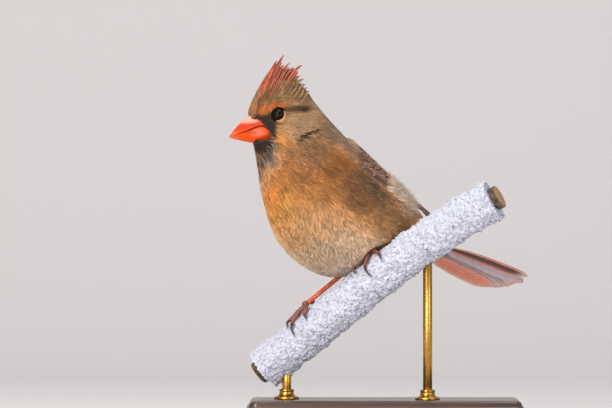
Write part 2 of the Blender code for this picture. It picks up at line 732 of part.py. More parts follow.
def tail_feather(rank, side):
    root, way, left, over = tail_frame()
    length, tip_aside = TAIL_FEATHERS[rank]
    root_aside = TAIL_ROOT_ASIDE + TAIL_ROOT_SPREAD * rank
    level = ((len(TAIL_FEATHERS) - 1) / 2 - rank) * TAIL_PITCH + side * TAIL_STEP
    start = TAIL_STARTS_AT + side * TAIL_STEP
    shares, widths = outline_widths(FEATHER_OUTLINE, TAIL_HALF_WIDTH)
    middles = []
    for t in shares:
        aside = side * (root_aside + (tip_aside - root_aside) * t**TAIL_OPENING)
        middles.append(root + way * (start + (length - start) * t) + left * aside + over * level)
    normals = np.repeat([over], len(middles), axis=0)
    return add_object("piece", vane(middles, normals, widths))


def build_tail():
    root, way, left, over = tail_frame()
    frame = Matrix([way, left, over]).transposed().to_4x4() @ Matrix.Diagonal((*TAIL_BLOCK, 1.0))
    middle = Matrix.Translation(Vector((root + way * (TAIL_BLOCK[0] + GAP)) * MM))
    block = ball(1.0, middle @ frame, segments=12, ring_count=8)
    feathers = [tail_feather(rank, side) for rank in range(len(TAIL_FEATHERS)) for side in (1, -1)]
    add_node("tail", combine(block, feathers), WING_BROWN)


def tube(points, radii, resolution=3):
    """A tapering tube through points, as a closed piece."""
    curve = bpy.data.curves.new("tube", "CURVE")
    curve.dimensions = "3D"
    curve.bevel_depth = MM
    curve.bevel_resolution = resolution
    curve.use_fill_caps = True
    line = curve.splines.new("POLY")
    line.points.add(len(points) - 1)
    for spot, point, radius in zip(line.points, points, radii):
        spot.co = (*(np.asarray(point) * MM), 1.0)
        spot.radius = radius
    obj = bpy.data.objects.new("tube", curve)
    PARTS.objects.link(obj)
    return made_mesh(obj)


def toe_path(spots, count=9):
    """Points and radii of one toe with its claw, lying on the crust."""
    rows = spline_rows(spots, np.linspace(0, 4, count))
    along = np.linspace(0, 4, count)
    radii = np.interp(along, (0, 2, 2.4, 4), (TOE_RADIUS, TOE_TIP_RADIUS, 0.75, CLAW_TIP_RADIUS))
    bow = np.interp(along, (0, 2, 3, 4), (0.5, 0.0, 0.8, 0.0))
    points = [
        on_perch(place, angle, SNOW_RADIUS + GAP + radius + lift)
        for (place, angle), radius, lift in zip(rows, radii, bow)
    ]
    return points, radii


def foot_centre(side):
    place, angle = FOOT_PLACES[side]
    return on_perch(place, angle, SNOW_RADIUS + GAP + FOOT_RADIUS)


def foot_pieces(side, grow):
    """The ball that the toes meet in, and the toes with their claws, each widened by grow."""
    pieces = [ball(FOOT_RADIUS + grow, Matrix.Translation(Vector(foot_centre(side) * MM)), 12, 8)]
    for spots in TOES[side]:
        points, radii = toe_path(spots)
        pieces.append(tube(points, radii + grow, resolution=2))
    return pieces


def build_feet():
    for side in ("left", "right"):
        first, *toes = foot_pieces(side, 0.0)
        add_node(f"foot_{side}", combine(first, toes), LEG_BROWN)


def leg_tube(side, grow):
    """The bare lower leg from just above the foot to its ankle inside the belly's plumage."""
    foot = foot_centre(side)
    ankle = PIVOT + np.array(ANKLES[side])
    way = (ankle - foot) / np.linalg.norm(ankle - foot)
    start = foot + way * (FOOT_RADIUS + GAP)
    points = [start + (ankle - start) * share for share in (0, 0.25, 0.8, 1)]
    points[0] = points[0] - way * grow
    points[-1] = points[-1] + way * grow
    radii = np.array([LEG_END_RADII[0], LEG_RADIUS, LEG_RADIUS, LEG_END_RADII[1]])
    return tube(points, radii + grow)


def build_legs():
    for side in ("left", "right"):
        add_node(f"leg_{side}", leg_tube(side, 0.0), LEG_BROWN)


def build_torso():
    torso = plumage_block(TORSO_STARTS_AT, LAST_SECTION, 22)
    cuts = [wing_room(1), wing_room(-1)]
    for side in ("left", "right"):
        cuts += [leg_tube(side, GAP), *foot_pieces(side, GAP)]
    add_node("torso", combine(torso, cuts, "DIFFERENCE"), BUFF)


def branch_tube(radius, set_back=0.0, resolution=4):
    centres, _ = branch_points(np.linspace(set_back, BRANCH_LENGTH - set_back, BRANCH_POINTS))
    return tube(centres, np.full(BRANCH_POINTS, radius), resolution)


def rod(place, radius, bottom):
    """An upright rod from a height up to the branch's middle."""
    (x, y, top), = branch_points(place)[0]
    bpy.ops.mesh.primitive_cylinder_add(vertices=20, radius=radius * MM, depth=(top - bottom) * MM)
    bpy.context.object.location = (x * MM, y * MM, (top + bottom) / 2 * MM)
    return made_mesh(bpy.context.object)


def build_perch():
    add_node("perch_branch", branch_tube(BRANCH_RADIUS), BARK)
    crust = branch_tube(SNOW_RADIUS, SNOW_SET_BACK, resolution=5)
    rod_holes = [rod(place, ROD_RADIUS + GAP, BASE_SIZE[2]) for place in ROD_PLACES.values()]
    crust = combine(crust, [branch_tube(BRANCH_RADIUS + GAP), *rod_holes], "DIFFERENCE")
    add_node("perch_snow", crust, SNOW)


def build_stand():
    bpy.ops.mesh.primitive_cube_add(size=1)
    slab = bpy.context.object
    slab.scale = tuple(side * MM for side in BASE_SIZE)
    bpy.ops.object.transform_apply(location=False, rotation=False, scale=True)
    slab.location = (0, 0, BASE_SIZE[2] / 2 * MM)
    bevel = slab.modifiers.new("corners", "BEVEL")
    bevel.width = BASE_BEVEL * MM
    bevel.segments = 3
    add_node("stand_base", made_mesh(slab), BASE_WOOD)
    for name, place in ROD_PLACES.items():
        upright = rod(place, ROD_RADIUS, BASE_SIZE[2] + GAP)
        add_node(name, combine(upright, [branch_tube(BRANCH_RADIUS + GAP)], "DIFFERENCE"), ROD_BRASS)


def build():
    add_node("neck", plumage_block(NECK_STARTS_AT, TORSO_STARTS_AT - GAP_BETWEEN_BLOCKS, 6), BUFF)
    build_torso()
    build_head()
    build_bill()
    build_eyes()
    build_wings()
    build_tail()
    build_legs()
    build_feet()
    build_perch()
    build_stand()


build()
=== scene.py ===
# %% [markdown]
# # A female northern cardinal on a snowy branch
# The bird is a life-size museum model: a feathered body, a horny bill, glass-like eyes, folded wings, a
# tail, scaly feet, a snow-crusted perch and a plain stand.  The solid model gives every size.  This lesson
# dresses it: each cell makes one piece or one finish and says why it is made that way.

# %% The frame
import math

import bmesh
import bpy
import numpy as np
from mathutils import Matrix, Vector


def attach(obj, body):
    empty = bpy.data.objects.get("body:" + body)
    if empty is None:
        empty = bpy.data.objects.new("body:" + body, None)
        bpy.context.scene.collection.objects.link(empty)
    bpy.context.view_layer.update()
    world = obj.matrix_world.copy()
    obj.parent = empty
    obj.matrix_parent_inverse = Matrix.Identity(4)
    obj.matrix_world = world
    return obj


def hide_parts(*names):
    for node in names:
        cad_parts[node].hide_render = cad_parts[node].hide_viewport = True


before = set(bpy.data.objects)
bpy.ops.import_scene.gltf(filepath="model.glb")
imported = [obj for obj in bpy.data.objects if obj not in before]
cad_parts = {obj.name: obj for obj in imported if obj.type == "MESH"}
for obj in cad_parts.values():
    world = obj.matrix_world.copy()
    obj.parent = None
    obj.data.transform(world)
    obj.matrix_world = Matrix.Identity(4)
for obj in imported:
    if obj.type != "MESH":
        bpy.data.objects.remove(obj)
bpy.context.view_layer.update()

# %% [markdown]
# ## Colours and nodes
# Colours are picked as sRGB hex values, the way a paint chart gives them, but a shader works with light,
# so one function turns them to linear.  A second small function adds a node with its settings and links,
# which keeps every material short enough to read in one look.

# %% Colour and node helpers
MM = 0.001


def linear(code):
    """An sRGB hex colour as linear red, green and blue."""
    channels = [int(code[i : i + 2], 16) / 255 for i in (1, 3, 5)]
    return np.array([c / 12.92 if c <= 0.04045 else ((c + 0.055) / 1.055) ** 2.4 for c in channels])


def node(tree, kind, inputs=None, **settings):
    """Adds a node.  An input is a value, or an output socket to link from."""
    made = tree.nodes.new(kind)
    for key, value in settings.items():
        setattr(made, key, value)
    for key, value in (inputs or {}).items():
        if isinstance(value, bpy.types.NodeSocket):
            tree.links.new(value, made.inputs[key])
        else:
            made.inputs[key].default_value = value
    return made


def shader_of(name, **sockets):
    """A new material, its node tree and its Principled shader with constant values set on the sockets."""
    material = bpy.data.materials.new(name)
    material.use_nodes = True
    tree = material.node_tree
    shader = tree.nodes["Principled BSDF"]
    for key, value in sockets.items():
        shader.inputs[key.replace("_", " ")].default_value = value
    return material, tree, shader


def rgba(code):
    return (*linear(code), 1.0)


BRIGHTEST = 0.95


def held(colours):
    """Dims colours that are too bright without a change of hue."""
    return colours / np.maximum(colours.max(axis=-1, keepdims=True) / BRIGHTEST, 1)


def mixed(tree, factor, first, second, blend="MIX"):
    """The colour output of a Mix node between two colours or sockets."""
    mix = node(tree, "ShaderNodeMix", {"Factor": factor}, data_type="RGBA", blend_type=blend)
    for slot, value in ((6, first), (7, second)):
        if isinstance(value, bpy.types.NodeSocket):
            tree.links.new(value, mix.inputs[slot])
        else:
            mix.inputs[slot].default_value = value
    return mix.outputs[2]


def noise_of(tree, size_mm, detail=2.0, vector=None, roughness=0.5):
    """Noise whose blotches are about this many millimetres across, on Object coordinates."""
    if vector is None:
        vector = node(tree, "ShaderNodeTexCoord").outputs["Object"]
    inputs = {"Vector": vector, "Scale": 1 / (size_mm * MM), "Detail": detail, "Roughness": roughness}
    return node(tree, "ShaderNodeTexNoise", inputs).outputs["Fac"]


def spread_of(tree, value, low, high, start=0.0, end=1.0):
    """Maps a value from low..high to start..end, clamped."""
    inputs = {"Value": value, "From Min": low, "From Max": high, "To Min": start, "To Max": end}
    return node(tree, "ShaderNodeMapRange", inputs).outputs["Result"]


def shaded(tree, colour, tone):
    """A colour made darker or lighter by a tone about 1."""
    grey = node(tree, "ShaderNodeCombineColor", {"Red": tone, "Green": tone, "Blue": tone}).outputs["Color"]
    return mixed(tree, 1.0, colour, grey, "MULTIPLY")


def blotches(tree, noise, low, high, first, second):
    """Goes from one sRGB colour to another as noise goes from low to high."""
    return mixed(tree, spread_of(tree, noise, low, high), rgba(first), rgba(second))


def bump_of(tree, shader, height, strength, depth_mm):
    """Links a bump of this real depth into the shader."""
    inputs = {"Height": height, "Strength": strength, "Distance": depth_mm * MM}
    tree.links.new(node(tree, "ShaderNodeBump", inputs).outputs["Normal"], shader.inputs["Normal"])


# %% [markdown]
# ## Where the camera stands
# The photograph was taken level with the bird, from a few metres away with a long lens, so there is almost
# no perspective.  One pixel covers 0.54 mm at the bird, and the frame is 612 by 408 pixels.  The camera
# therefore looks straight along +Y from 5 m away, with a lens that fits that width.

# %% The camera
PIXEL_MM = 0.54
FRAME_PIXELS = (612, 408)
PICTURE_CENTRE = Vector((-42.8 * MM, -24.0 * MM, 115.8 * MM))
CAMERA_DISTANCE = 5.0
SENSOR_MM = 36.0

camera_data = bpy.data.cameras.new("camera")
camera_data.sensor_width = SENSOR_MM
camera_data.lens = SENSOR_MM * CAMERA_DISTANCE / (FRAME_PIXELS[0] * PIXEL_MM * MM)
camera_data.clip_end = 50
camera = bpy.data.objects.new("camera", camera_data)
camera.location = PICTURE_CENTRE + Vector((0, -CAMERA_DISTANCE, 0))
camera.rotation_euler = (math.radians(90), 0, 0)
bpy.context.scene.collection.objects.link(camera)
bpy.context.scene.camera = camera
print("lens", round(camera_data.lens), "mm")

# %% [markdown]
# ## The body's surface
# A bird's outline is its plumage, not its flesh.  The surface is laid out by sections that run from the
# base of the bill over the crown, down the back and out to the tail.  A place on it is a section number
# and an angle round the body: 0 is the back, 90 the bird's left, 180 the breast.  Feathers lie along
# rising section numbers, so the same two numbers place each feather, aim it and colour it.

# %% Sections of the plumage
PIVOT = np.array([-46.0, -24.0, 145.0])
HEAD_HEADING, BODY_HEADING = 6.0, 42.0
TAIL_ROLL = 15.0
UP = np.array([0.0, 0.0, 1.0])

# Share of the turn to the body's heading, dorsal point (forward, up), ventral point (forward, up), half
# width, widest level as a share of the depth, and fullness of the upper half.  Millimetres from PIVOT.
BODY_SECTIONS = np.array([
    (0.00, 28.6, 19.0, 25.4, 3.3, 5.2, 0.50, 2.0),
    (0.00, 27.2, 23.8, 24.4, -0.5, 6.2, 0.52, 2.0),
    (0.00, 24.4, 28.8, 23.8, -4.0, 7.0, 0.52, 1.9),
    (0.00, 20.8, 33.2, 23.2, -7.5, 7.8, 0.50, 1.8),
    (0.00, 14.6, 37.2, 22.6, -11.5, 9.8, 0.46, 1.7),
    (0.03, 5.5, 37.6, 22.0, -16.5, 12.6, 0.46, 1.7),
    (0.12, -3.0, 31.8, 21.0, -22.5, 16.0, 0.48, 1.8),
    (0.32, -9.8, 22.8, 19.0, -30.0, 20.0, 0.50, 1.9),
    (0.62, -19.0, 12.7, 15.5, -39.0, 24.5, 0.50, 2.0),
    (0.88, -30.0, 3.4, 9.8, -47.4, 28.5, 0.50, 2.0),
    (1.00, -42.0, -5.4, 1.4, -55.8, 31.5, 0.50, 2.0),
    (1.00, -53.0, -14.0, -9.8, -63.4, 33.0, 0.48, 2.0),
    (1.00, -63.0, -22.4, -24.5, -68.6, 32.5, 0.46, 2.0),
    (1.00, -71.5, -30.4, -40.0, -66.5, 29.5, 0.44, 2.1),
    (1.00, -79.5, -37.6, -56.0, -60.5, 22.5, 0.45, 2.1),
    (1.00, -87.5, -43.2, -71.0, -57.8, 16.0, 0.46, 2.0),
    (1.00, -94.5, -46.8, -84.0, -56.8, 11.5, 0.48, 2.0),
    (1.00, -100.0, -49.2, -95.0, -56.6, 9.5, 0.50, 2.0),
    (1.00, -106.0, -51.4, -104.0, -58.4, 8.0, 0.50, 2.0),
    (1.00, -112.0, -53.6, -111.5, -60.0, 7.0, 0.50, 2.0),
])
LAST_SECTION = 17
ROLL_STARTS_AT = 8.0

# The folded wings lie on a sleeve sunk a little into the flanks, which then runs straight on.
FLANK_DEPTH = 2.0
SLEEVE_SECTIONS = np.vstack([
    BODY_SECTIONS[:12],
    (1.00, -64.5, -21.8, -24.0, -69.5, 31.0, 0.46, 2.0),
    (1.00, -76.5, -29.2, -42.0, -69.5, 26.5, 0.46, 2.0),
    (1.00, -88.5, -36.4, -58.0, -65.0, 20.0, 0.46, 2.0),
    (1.00, -100.5, -43.4, -74.0, -61.0, 14.0, 0.46, 2.0),
    (1.00, -112.5, -50.4, -90.0, -60.0, 10.0, 0.46, 2.0),
])
SLEEVE_SECTIONS[8:13, 5] -= FLANK_DEPTH


def spline_rows(rows, places):
    """Reads a table of rows at fractional row numbers along a smooth curve through the rows."""
    rows = np.asarray(rows, float)
    places = np.atleast_1d(np.asarray(places, float))
    last = len(rows) - 1
    first = np.clip(np.floor(places).astype(int), 0, last - 1)
    t = (places - first)[:, None]
    before, start = rows[np.clip(first - 1, 0, last)], rows[first]
    end, after = rows[first + 1], rows[np.clip(first + 2, 0, last)]
    return 0.5 * (
        2 * start
        + (end - before) * t
        + (2 * before - 5 * start + 4 * end - after) * t**2
        + (3 * start - before - 3 * end + after) * t**3
    )


def facing(heading):
    """The forward and left directions of a bird with this heading, in degrees."""
    turn = np.radians(heading)
    forward = np.stack([-np.cos(turn), -np.sin(turn), 0 * turn], -1)
    left = np.stack([np.sin(turn), -np.cos(turn), 0 * turn], -1)
    return forward, left


HEAD_AHEAD, HEAD_LEFT = facing(np.float64(HEAD_HEADING))
BODY_AHEAD, BODY_LEFT = facing(np.float64(BODY_HEADING))


def head_point(forward, left, up):
    return PIVOT + forward * HEAD_AHEAD + left * HEAD_LEFT + up * UP


def head_side_view(points):
    """Forward, left and up distances of points from the neck pivot, along the head."""
    away = points - PIVOT
    return away @ HEAD_AHEAD, away @ HEAD_LEFT, away[..., 2]


def skin_points(sections, places, angles, lift=0.0):
    """Points of a plumage surface in millimetres.  Lift widens each section."""
    places, angles, lift = np.broadcast_arrays(
        np.asarray(places, float), np.asarray(angles, float), np.asarray(lift, float)
    )
    shape = places.shape
    places, angles, lift = places.ravel(), angles.ravel(), lift.ravel()
    rows = spline_rows(sections, places)
    turn = np.clip(rows[:, 0], 0, 1)
    forward, left = facing(HEAD_HEADING + (BODY_HEADING - HEAD_HEADING) * turn)
    dorsal = rows[:, 1:2] * forward + rows[:, 2:3] * UP
    ventral = rows[:, 3:4] * forward + rows[:, 4:5] * UP
    depth = np.linalg.norm(ventral - dorsal, axis=1, keepdims=True)
    rise = (dorsal - ventral) / depth
    middle = ventral + rise * depth * (1 - rows[:, 6:7])
    share = np.clip((places - ROLL_STARTS_AT) / (LAST_SECTION - ROLL_STARTS_AT), 0, 1)
    roll = np.radians(TAIL_ROLL * share**1.5)[:, None]
    rise, left = rise * np.cos(roll) - left * np.sin(roll), left * np.cos(roll) + rise * np.sin(roll)
    c, s = np.cos(angles), np.sin(angles)
    power = np.where(c > 0, 2 / rows[:, 7], 1.0)
    c = np.sign(c) * np.abs(c) ** power
    s = np.sign(s) * np.abs(s) ** power
    reach = np.where(c > 0, depth[:, 0] * rows[:, 6], depth[:, 0] * (1 - rows[:, 6])) + lift
    points = middle + rise * (c * reach)[:, None] + left * (s * (rows[:, 5] + lift))[:, None]
    return (PIVOT + points).reshape(*shape, 3)


# %% [markdown]
# ## The branch's line
# The perch is a smooth curve through a few points.  The belly's plumage is pressed in where it would meet
# the snow, so the surface needs to know where the branch runs before the skin is made.

# %% The branch's line and what stays clear of it
BRANCH_LINE = (
    (-22.7, 21.0, -121.0),
    (0.0, 14.7, -103.2),
    (22.1, 8.8, -85.3),
    (45.4, 2.5, -66.4),
    (68.0, -3.6, -49.7),
    (91.8, -10.0, -34.0),
    (108.0, -14.4, -24.8),
)
BRANCH_LENGTH = 166.0
BRANCH_RADIUS = 6.4
SNOW_RADIUS = 11.4
SNOW_SET_BACK = 4.0
FOOT_PLACES = {"right": (45.0, 20.0), "left": (91.0, 8.0)}
FOOT_RADIUS = 2.0
BELLY_CLEARANCE = 0.9
FOOT_HOLLOW_DEPTH, FOOT_HOLLOW_WIDTH = 3.6, 7.0


def branch_points(places):
    """Points of the branch's middle line, and its direction, at distances from its lower end."""
    fine = spline_rows(BRANCH_LINE, np.linspace(0, len(BRANCH_LINE) - 1, 400))
    along = np.concatenate([[0], np.cumsum(np.linalg.norm(np.diff(fine, axis=0), axis=1))])
    places = np.atleast_1d(np.asarray(places, float))
    points, ahead, behind = (
        np.stack([np.interp(places + step, along, fine[:, i]) for i in range(3)], -1) for step in (0, 1, -1)
    )
    way = ahead - behind
    return PIVOT + points, way / np.linalg.norm(way, axis=1, keepdims=True)


def branch_frame(places):
    """Middle, direction, upper side and near side of the branch at some places."""
    centre, way = branch_points(places)
    rise = UP - way * way[:, 2:3]
    rise /= np.linalg.norm(rise, axis=1, keepdims=True)
    near = np.cross(rise, way)
    near *= np.where(near[:, 1:2] < 0, 1.0, -1.0)
    return centre, way, rise, near


def on_perch(place, degrees, height):
    """Points over the branch: the angle runs from its upper edge (0) to the viewer's side (90)."""
    centre, _, rise, near = branch_frame(place)
    turn = np.radians(np.atleast_1d(degrees))[:, None]
    return centre + np.reshape(height, (-1, 1)) * (np.cos(turn) * rise + np.sin(turn) * near)


PERCH_PLACES = np.arange(0.0, BRANCH_LENGTH, 1.0)
PERCH_LINE = branch_points(PERCH_PLACES)[0]
FOOT_DISTANCES = np.min([np.abs(PERCH_PLACES - place) for place, _ in FOOT_PLACES.values()], axis=0)
PERCH_ROOM = SNOW_RADIUS + BELLY_CLEARANCE
PERCH_ROOM = PERCH_ROOM + FOOT_HOLLOW_DEPTH * np.exp(-((FOOT_DISTANCES / FOOT_HOLLOW_WIDTH) ** 2))


def clear_of_perch(points, less=0.0):
    """Moves plumage points out of the branch, its crust and the feet on it."""
    flat = points.reshape(-1, 3).copy()
    for start in range(0, len(flat), 20000):
        part = flat[start : start + 20000]
        away = part[:, None] - PERCH_LINE[None]
        distance = np.linalg.norm(away, axis=2)
        near = distance.argmin(axis=1)
        pick = np.arange(len(part))
        least, room = distance[pick, near], PERCH_ROOM[near] - less
        inside = least < room
        pushed = PERCH_LINE[near] + away[pick, near] / least[:, None] * room[:, None]
        part[inside] = pushed[inside]
    return flat.reshape(points.shape)


# %% [markdown]
# ## Markings
# The female is buff and olive where the male is red: warm orange on the breast, paler on the belly,
# olive-brown on the back, with red in the crest, wings and tail and a blackish mask round the bill.  The
# markings are a short list of soft-edged spots in section and angle, mixed in order.  The skin and every
# tuft read the same function, so the coat never disagrees with what shows between its feathers.

# %% The plumage's colours
BACK_OLIVE, BREAST_BUFF = "#8F745C", "#C28A4E"
# Colour, section, degrees from the back, half length in sections, half width in degrees, strength.
MARKINGS = (
    ("#A8723C", 7.9, 108, 1.9, 46, 0.85),
    ("#BE8A4C", 8.0, 160, 1.7, 42, 0.9),
    ("#D6AC7C", 9.7, 150, 1.4, 40, 0.9),
    ("#EED2B2", 11.2, 154, 1.5, 42, 0.9),
    ("#F6E2CE", 12.2, 168, 1.1, 42, 0.9),
    ("#CBA882", 13.8, 120, 1.6, 60, 0.8),
    ("#DCC2AC", 15.5, 150, 2.2, 60, 0.8),
    ("#8A5420", 8.0, 76, 1.2, 16, 0.7),
    ("#7A5230", 9.8, 80, 1.3, 20, 0.8),
    ("#6A5238", 10.0, 72, 1.0, 9, 0.85),
    ("#927046", 11.3, 92, 0.9, 18, 0.7),
    ("#C8B094", 11.9, 60, 0.6, 16, 0.8),
    ("#DCCDBB", 12.0, 50, 0.8, 10, 0.85),
    ("#8F7A68", 8.4, 31, 1.3, 18, 0.7),
    ("#B4743A", 6.6, 150, 0.7, 30, 0.9),
    ("#A26C3A", 7.0, 108, 0.8, 22, 0.7),
    ("#A27E56", 6.6, 60, 1.3, 32, 0.7),
    ("#7C5C3C", 7.2, 82, 0.6, 16, 0.6),
)
# On the head the same colours are placed by millimetres forward of the neck's pivot and up from it.
HEAD_MARKINGS = (
    ("#866040", -1.0, -2.0, 12.0, 6.5, 0.75),
    ("#9A7E5E", -1.0, 12.5, 11.0, 7.5, 0.9),
    ("#8C6A44", 9.0, 32.0, 16.0, 7.0, 0.85),
    ("#8A6840", 25.0, 26.0, 4.0, 5.0, 0.8),
    ("#C26A2C", 21.0, 21.8, 4.6, 3.0, 0.85),
    ("#B85F2B", 12.6, 23.8, 5.4, 2.2, 0.92),
    ("#44301A", 1.2, 22.0, 7.2, 1.9, 0.92),
    ("#B08A5C", 8.5, 10.6, 3.6, 3.0, 0.6),
    # Painted shade along the gap where the cheek's feathers part, under the ear streak's dark strands.
    ("#2A1D12", 0.8, 4.9, 2.4, 0.55, 0.8),
    ("#2A1D12", -3.2, 6.4, 2.6, 0.65, 0.9),
    ("#2A1D12", -7.0, 8.9, 2.0, 0.9, 0.9),
    ("#7E6A5C", 19.5, -6.0, 6.0, 3.6, 0.85),
    ("#211C1A", 20.5, 1.6, 7.0, 4.4, 0.97),
    ("#231E1C", 15.8, 8.0, 2.6, 5.0, 0.95),
    ("#231E1C", 16.4, 13.0, 2.6, 3.6, 0.93),
    ("#231E1C", 19.4, 14.0, 2.8, 2.8, 0.95),
    ("#2A2320", 12.8, 14.2, 3.2, 1.2, 0.8),
    ("#231D1A", 24.6, 18.3, 3.0, 1.1, 0.93),
    ("#231D1A", 20.4, 17.2, 3.4, 1.9, 0.93),
    ("#2A221D", 16.6, 18.2, 2.2, 2.6, 0.85),
)
HEAD_ENDS = (6.6, 7.8)
PLUMAGE_GAIN = 1.35
MARKING_SOFTNESS = 0.45


def marked(base, places, degrees, spots):
    """Mixes soft-edged spots into a base colour at places of the plumage."""
    colour = base.copy()
    for code, place, angle, length, width, strength in spots:
        away = np.hypot((places - place) / length, (degrees - angle) / width)
        share = np.clip((1 + MARKING_SOFTNESS - away) / (2 * MARKING_SOFTNESS), 0, 1)
        share = strength * share * share * (3 - 2 * share)
        colour += (linear(code) - colour) * share[..., None]
    return colour


# Streaks for each section along the lie, degrees across one, and strength, from broad to fine.
STREAKS = ((1.3, 9.0, 0.1), (2.6, 2.6, 0.16))
STREAK_LATTICE = np.random.default_rng(5).uniform(-1, 1, (61, 67))
STREAK_START = 7.3


def streaked(places, degrees):
    """Smooth noise about 1, long along the lie and narrow across it, as worn feather edges show."""
    tone = np.ones(np.broadcast(places, degrees).shape)
    rows, columns = STREAK_LATTICE.shape
    for per_section, width, strength in STREAKS:
        x, y = places * per_section + STREAK_START, (degrees + 180) / width
        row, column = np.floor(x).astype(int), np.floor(y).astype(int)
        x, y = x - row, y - column
        x, y = x * x * (3 - 2 * x), y * y * (3 - 2 * y)
        near, far = (
            STREAK_LATTICE[(row + step) % rows, column % columns] * (1 - y)
            + STREAK_LATTICE[(row + step) % rows, (column + 1) % columns] * y
            for step in (0, 1)
        )
        tone = tone + strength * (near * (1 - x) + far * x)
    return tone


def plumage_colour(places, angles):
    """Linear colour of the plumage at sections and angles in radians."""
    signed = np.degrees((angles + np.pi) % (2 * np.pi) - np.pi)
    degrees = np.abs(signed)
    share = np.clip((degrees - 40) / 45, 0, 1)
    share = (share * share * (3 - 2 * share))[..., None]
    base = linear(BACK_OLIVE) * (1 - share) + linear(BREAST_BUFF) * share
    colour = marked(base, places, degrees, MARKINGS)
    ahead, _, up = head_side_view(skin_points(BODY_SECTIONS, places, angles))
    head_share = np.clip((HEAD_ENDS[1] - places) / (HEAD_ENDS[1] - HEAD_ENDS[0]), 0, 1)[..., None]
    colour += (marked(colour, ahead, up, HEAD_MARKINGS) - colour) * head_share
    return held(colour * PLUMAGE_GAIN * streaked(places, signed)[..., None])


# %% [markdown]
# ## Making meshes
# Every piece ends as a plain mesh in metres with its object at the origin.  Three makers serve most of the
# bird: one turns arrays into an object, one lofts rings into a closed skin, and one grows flat vanes.

# %% Mesh helpers
COLLECTION = bpy.data.collections.new("cardinal looks")
bpy.context.scene.collection.children.link(COLLECTION)


def mesh_object(name, points, faces, material):
    """A mesh object from points in millimetres and a list or array of faces."""
    mesh = bpy.data.meshes.new(name)
    points = np.asarray(points, np.float32).reshape(-1, 3) * np.float32(MM)
    if isinstance(faces, np.ndarray):
        count, sides = faces.shape
        mesh.vertices.add(len(points))
        mesh.vertices.foreach_set("co", points.ravel())
        mesh.loops.add(count * sides)
        mesh.loops.foreach_set("vertex_index", faces.astype(np.int32).ravel())
        mesh.polygons.add(count)
        mesh.polygons.foreach_set("loop_start", np.arange(0, count * sides, sides, dtype=np.int32))
        mesh.update(calc_edges=True)
    else:
        mesh.from_pydata(points.tolist(), [], faces)
    mesh.shade_smooth()
    mesh.materials.append(material)
    made = bpy.data.objects.new(name, mesh)
    COLLECTION.objects.link(made)
    return made


def face_outwards(made):
    work = bmesh.new()
    work.from_mesh(made.data)
    bmesh.ops.recalc_face_normals(work, faces=work.faces)
    work.to_mesh(made.data)
    work.free()
    return made


def paint(made, name, values):
    """Stores one colour for each point of a mesh."""
    attribute = made.data.color_attributes.new(name, "FLOAT_COLOR", "POINT")
    full = np.ones((len(values), 4), np.float32)
    full[:, : values.shape[1]] = values
    attribute.data.foreach_set("color", full.ravel())


def loft(name, rings, material, joined=False):
    """A skin through rings of equal counts, with a face across each end, or with its ends joined."""
    rings = np.asarray(rings)
    count, around = rings.shape[:2]
    i, j = np.meshgrid(np.arange(count if joined else count - 1), np.arange(around), indexing="ij")
    k, after = (j + 1) % around, (i + 1) % count
    quads = np.stack([i * around + j, i * around + k, after * around + k, after * around + j], -1)
    faces = quads.reshape(-1, 4).tolist()
    if not joined:
        faces.append(list(range(around))[::-1])
        faces.append(list(range((count - 1) * around, count * around)))
    return face_outwards(mesh_object(name, rings.reshape(-1, 3), faces, material))


def dress(piece, *nodes, slot):
    """Puts a finished piece on the model's one body, in place of these solids."""
    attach(piece, "root")
    if nodes:
        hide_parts(*nodes)
    print(piece.name, len(piece.data.polygons), "faces")
    return piece


# %% [markdown]
# ## Feather finish
# Contour feathers are keratin barbs with air between them: matt, with a faint velvety sheen at glancing
# angles and no clear highlight.  The colour comes from the stored markings.  Noise about the size of one
# feather shades groups of barbs, and finer noise separates single barbs.

# %% The plumage's material
FEATHER_PATCH_MM = 5.0
BARB_PATCH_MM = 0.7


def plumage_material(name, darken=1.0):
    material, tree, shader = shader_of(name, Roughness=0.85, Sheen_Weight=0.1, Sheen_Roughness=0.5)
    shader.inputs["Specular IOR Level"].default_value = 0.12
    colour = node(tree, "ShaderNodeAttribute", attribute_name="plumage").outputs["Color"]
    patches = spread_of(tree, noise_of(tree, FEATHER_PATCH_MM), 0.3, 0.7, 0.86 * darken, 1.1 * darken)
    barbs = spread_of(tree, noise_of(tree, BARB_PATCH_MM), 0.25, 0.75, 0.82, 1.16)
    tone = node(tree, "ShaderNodeMath", {0: patches, 1: barbs}, operation="MULTIPLY").outputs[0]
    tree.links.new(shaded(tree, colour, tone), shader.inputs["Base Color"])
    bump_of(tree, shader, noise_of(tree, BARB_PATCH_MM), 0.3, 0.2)
    return material


# The skin between the tufts takes the same finish darkened, as painted shade deep in the coat.
SKIN_IN_PAINTED_SHADE = plumage_material("plumage skin in painted shade", darken=0.8)
BARBS = plumage_material("barbs of contour feathers")

# %% [markdown]
# ## Skin
# One closed skin stands for the head, neck and torso solids, so that no seam shows between them.  It lies
# inside them by the depth of the coat, which is added next.  Near the bill it dips below the horn, as the
# face's feathers end in a clean edge there.

# %% The skin under the coat
COAT_DEPTH = 1.5
SKIN_RINGS, SKIN_AROUND = 170, 120
# The edge of the face's plumage round the bill, (forward, up), from the forehead past the gape to the chin.
FACE_EDGE = np.array([
    (28.6, 19.6),
    (24.9, 16.9),
    (22.2, 15.6),
    (20.1, 13.0),
    (17.9, 11.6),
    (17.0, 8.6),
    (15.8, 6.2),
    (17.0, 5.0),
    (23.4, 5.0),
    (25.8, 3.2),
])
AHEAD_OF_FACE = np.array([(46.0, -2.0), (46.0, 26.0), (30.0, 26.0)])
BILL_OPENING = np.vstack([FACE_EDGE, AHEAD_OF_FACE])
FACE_SECTIONS, TUCKED_WIDTH = 6, 0.55


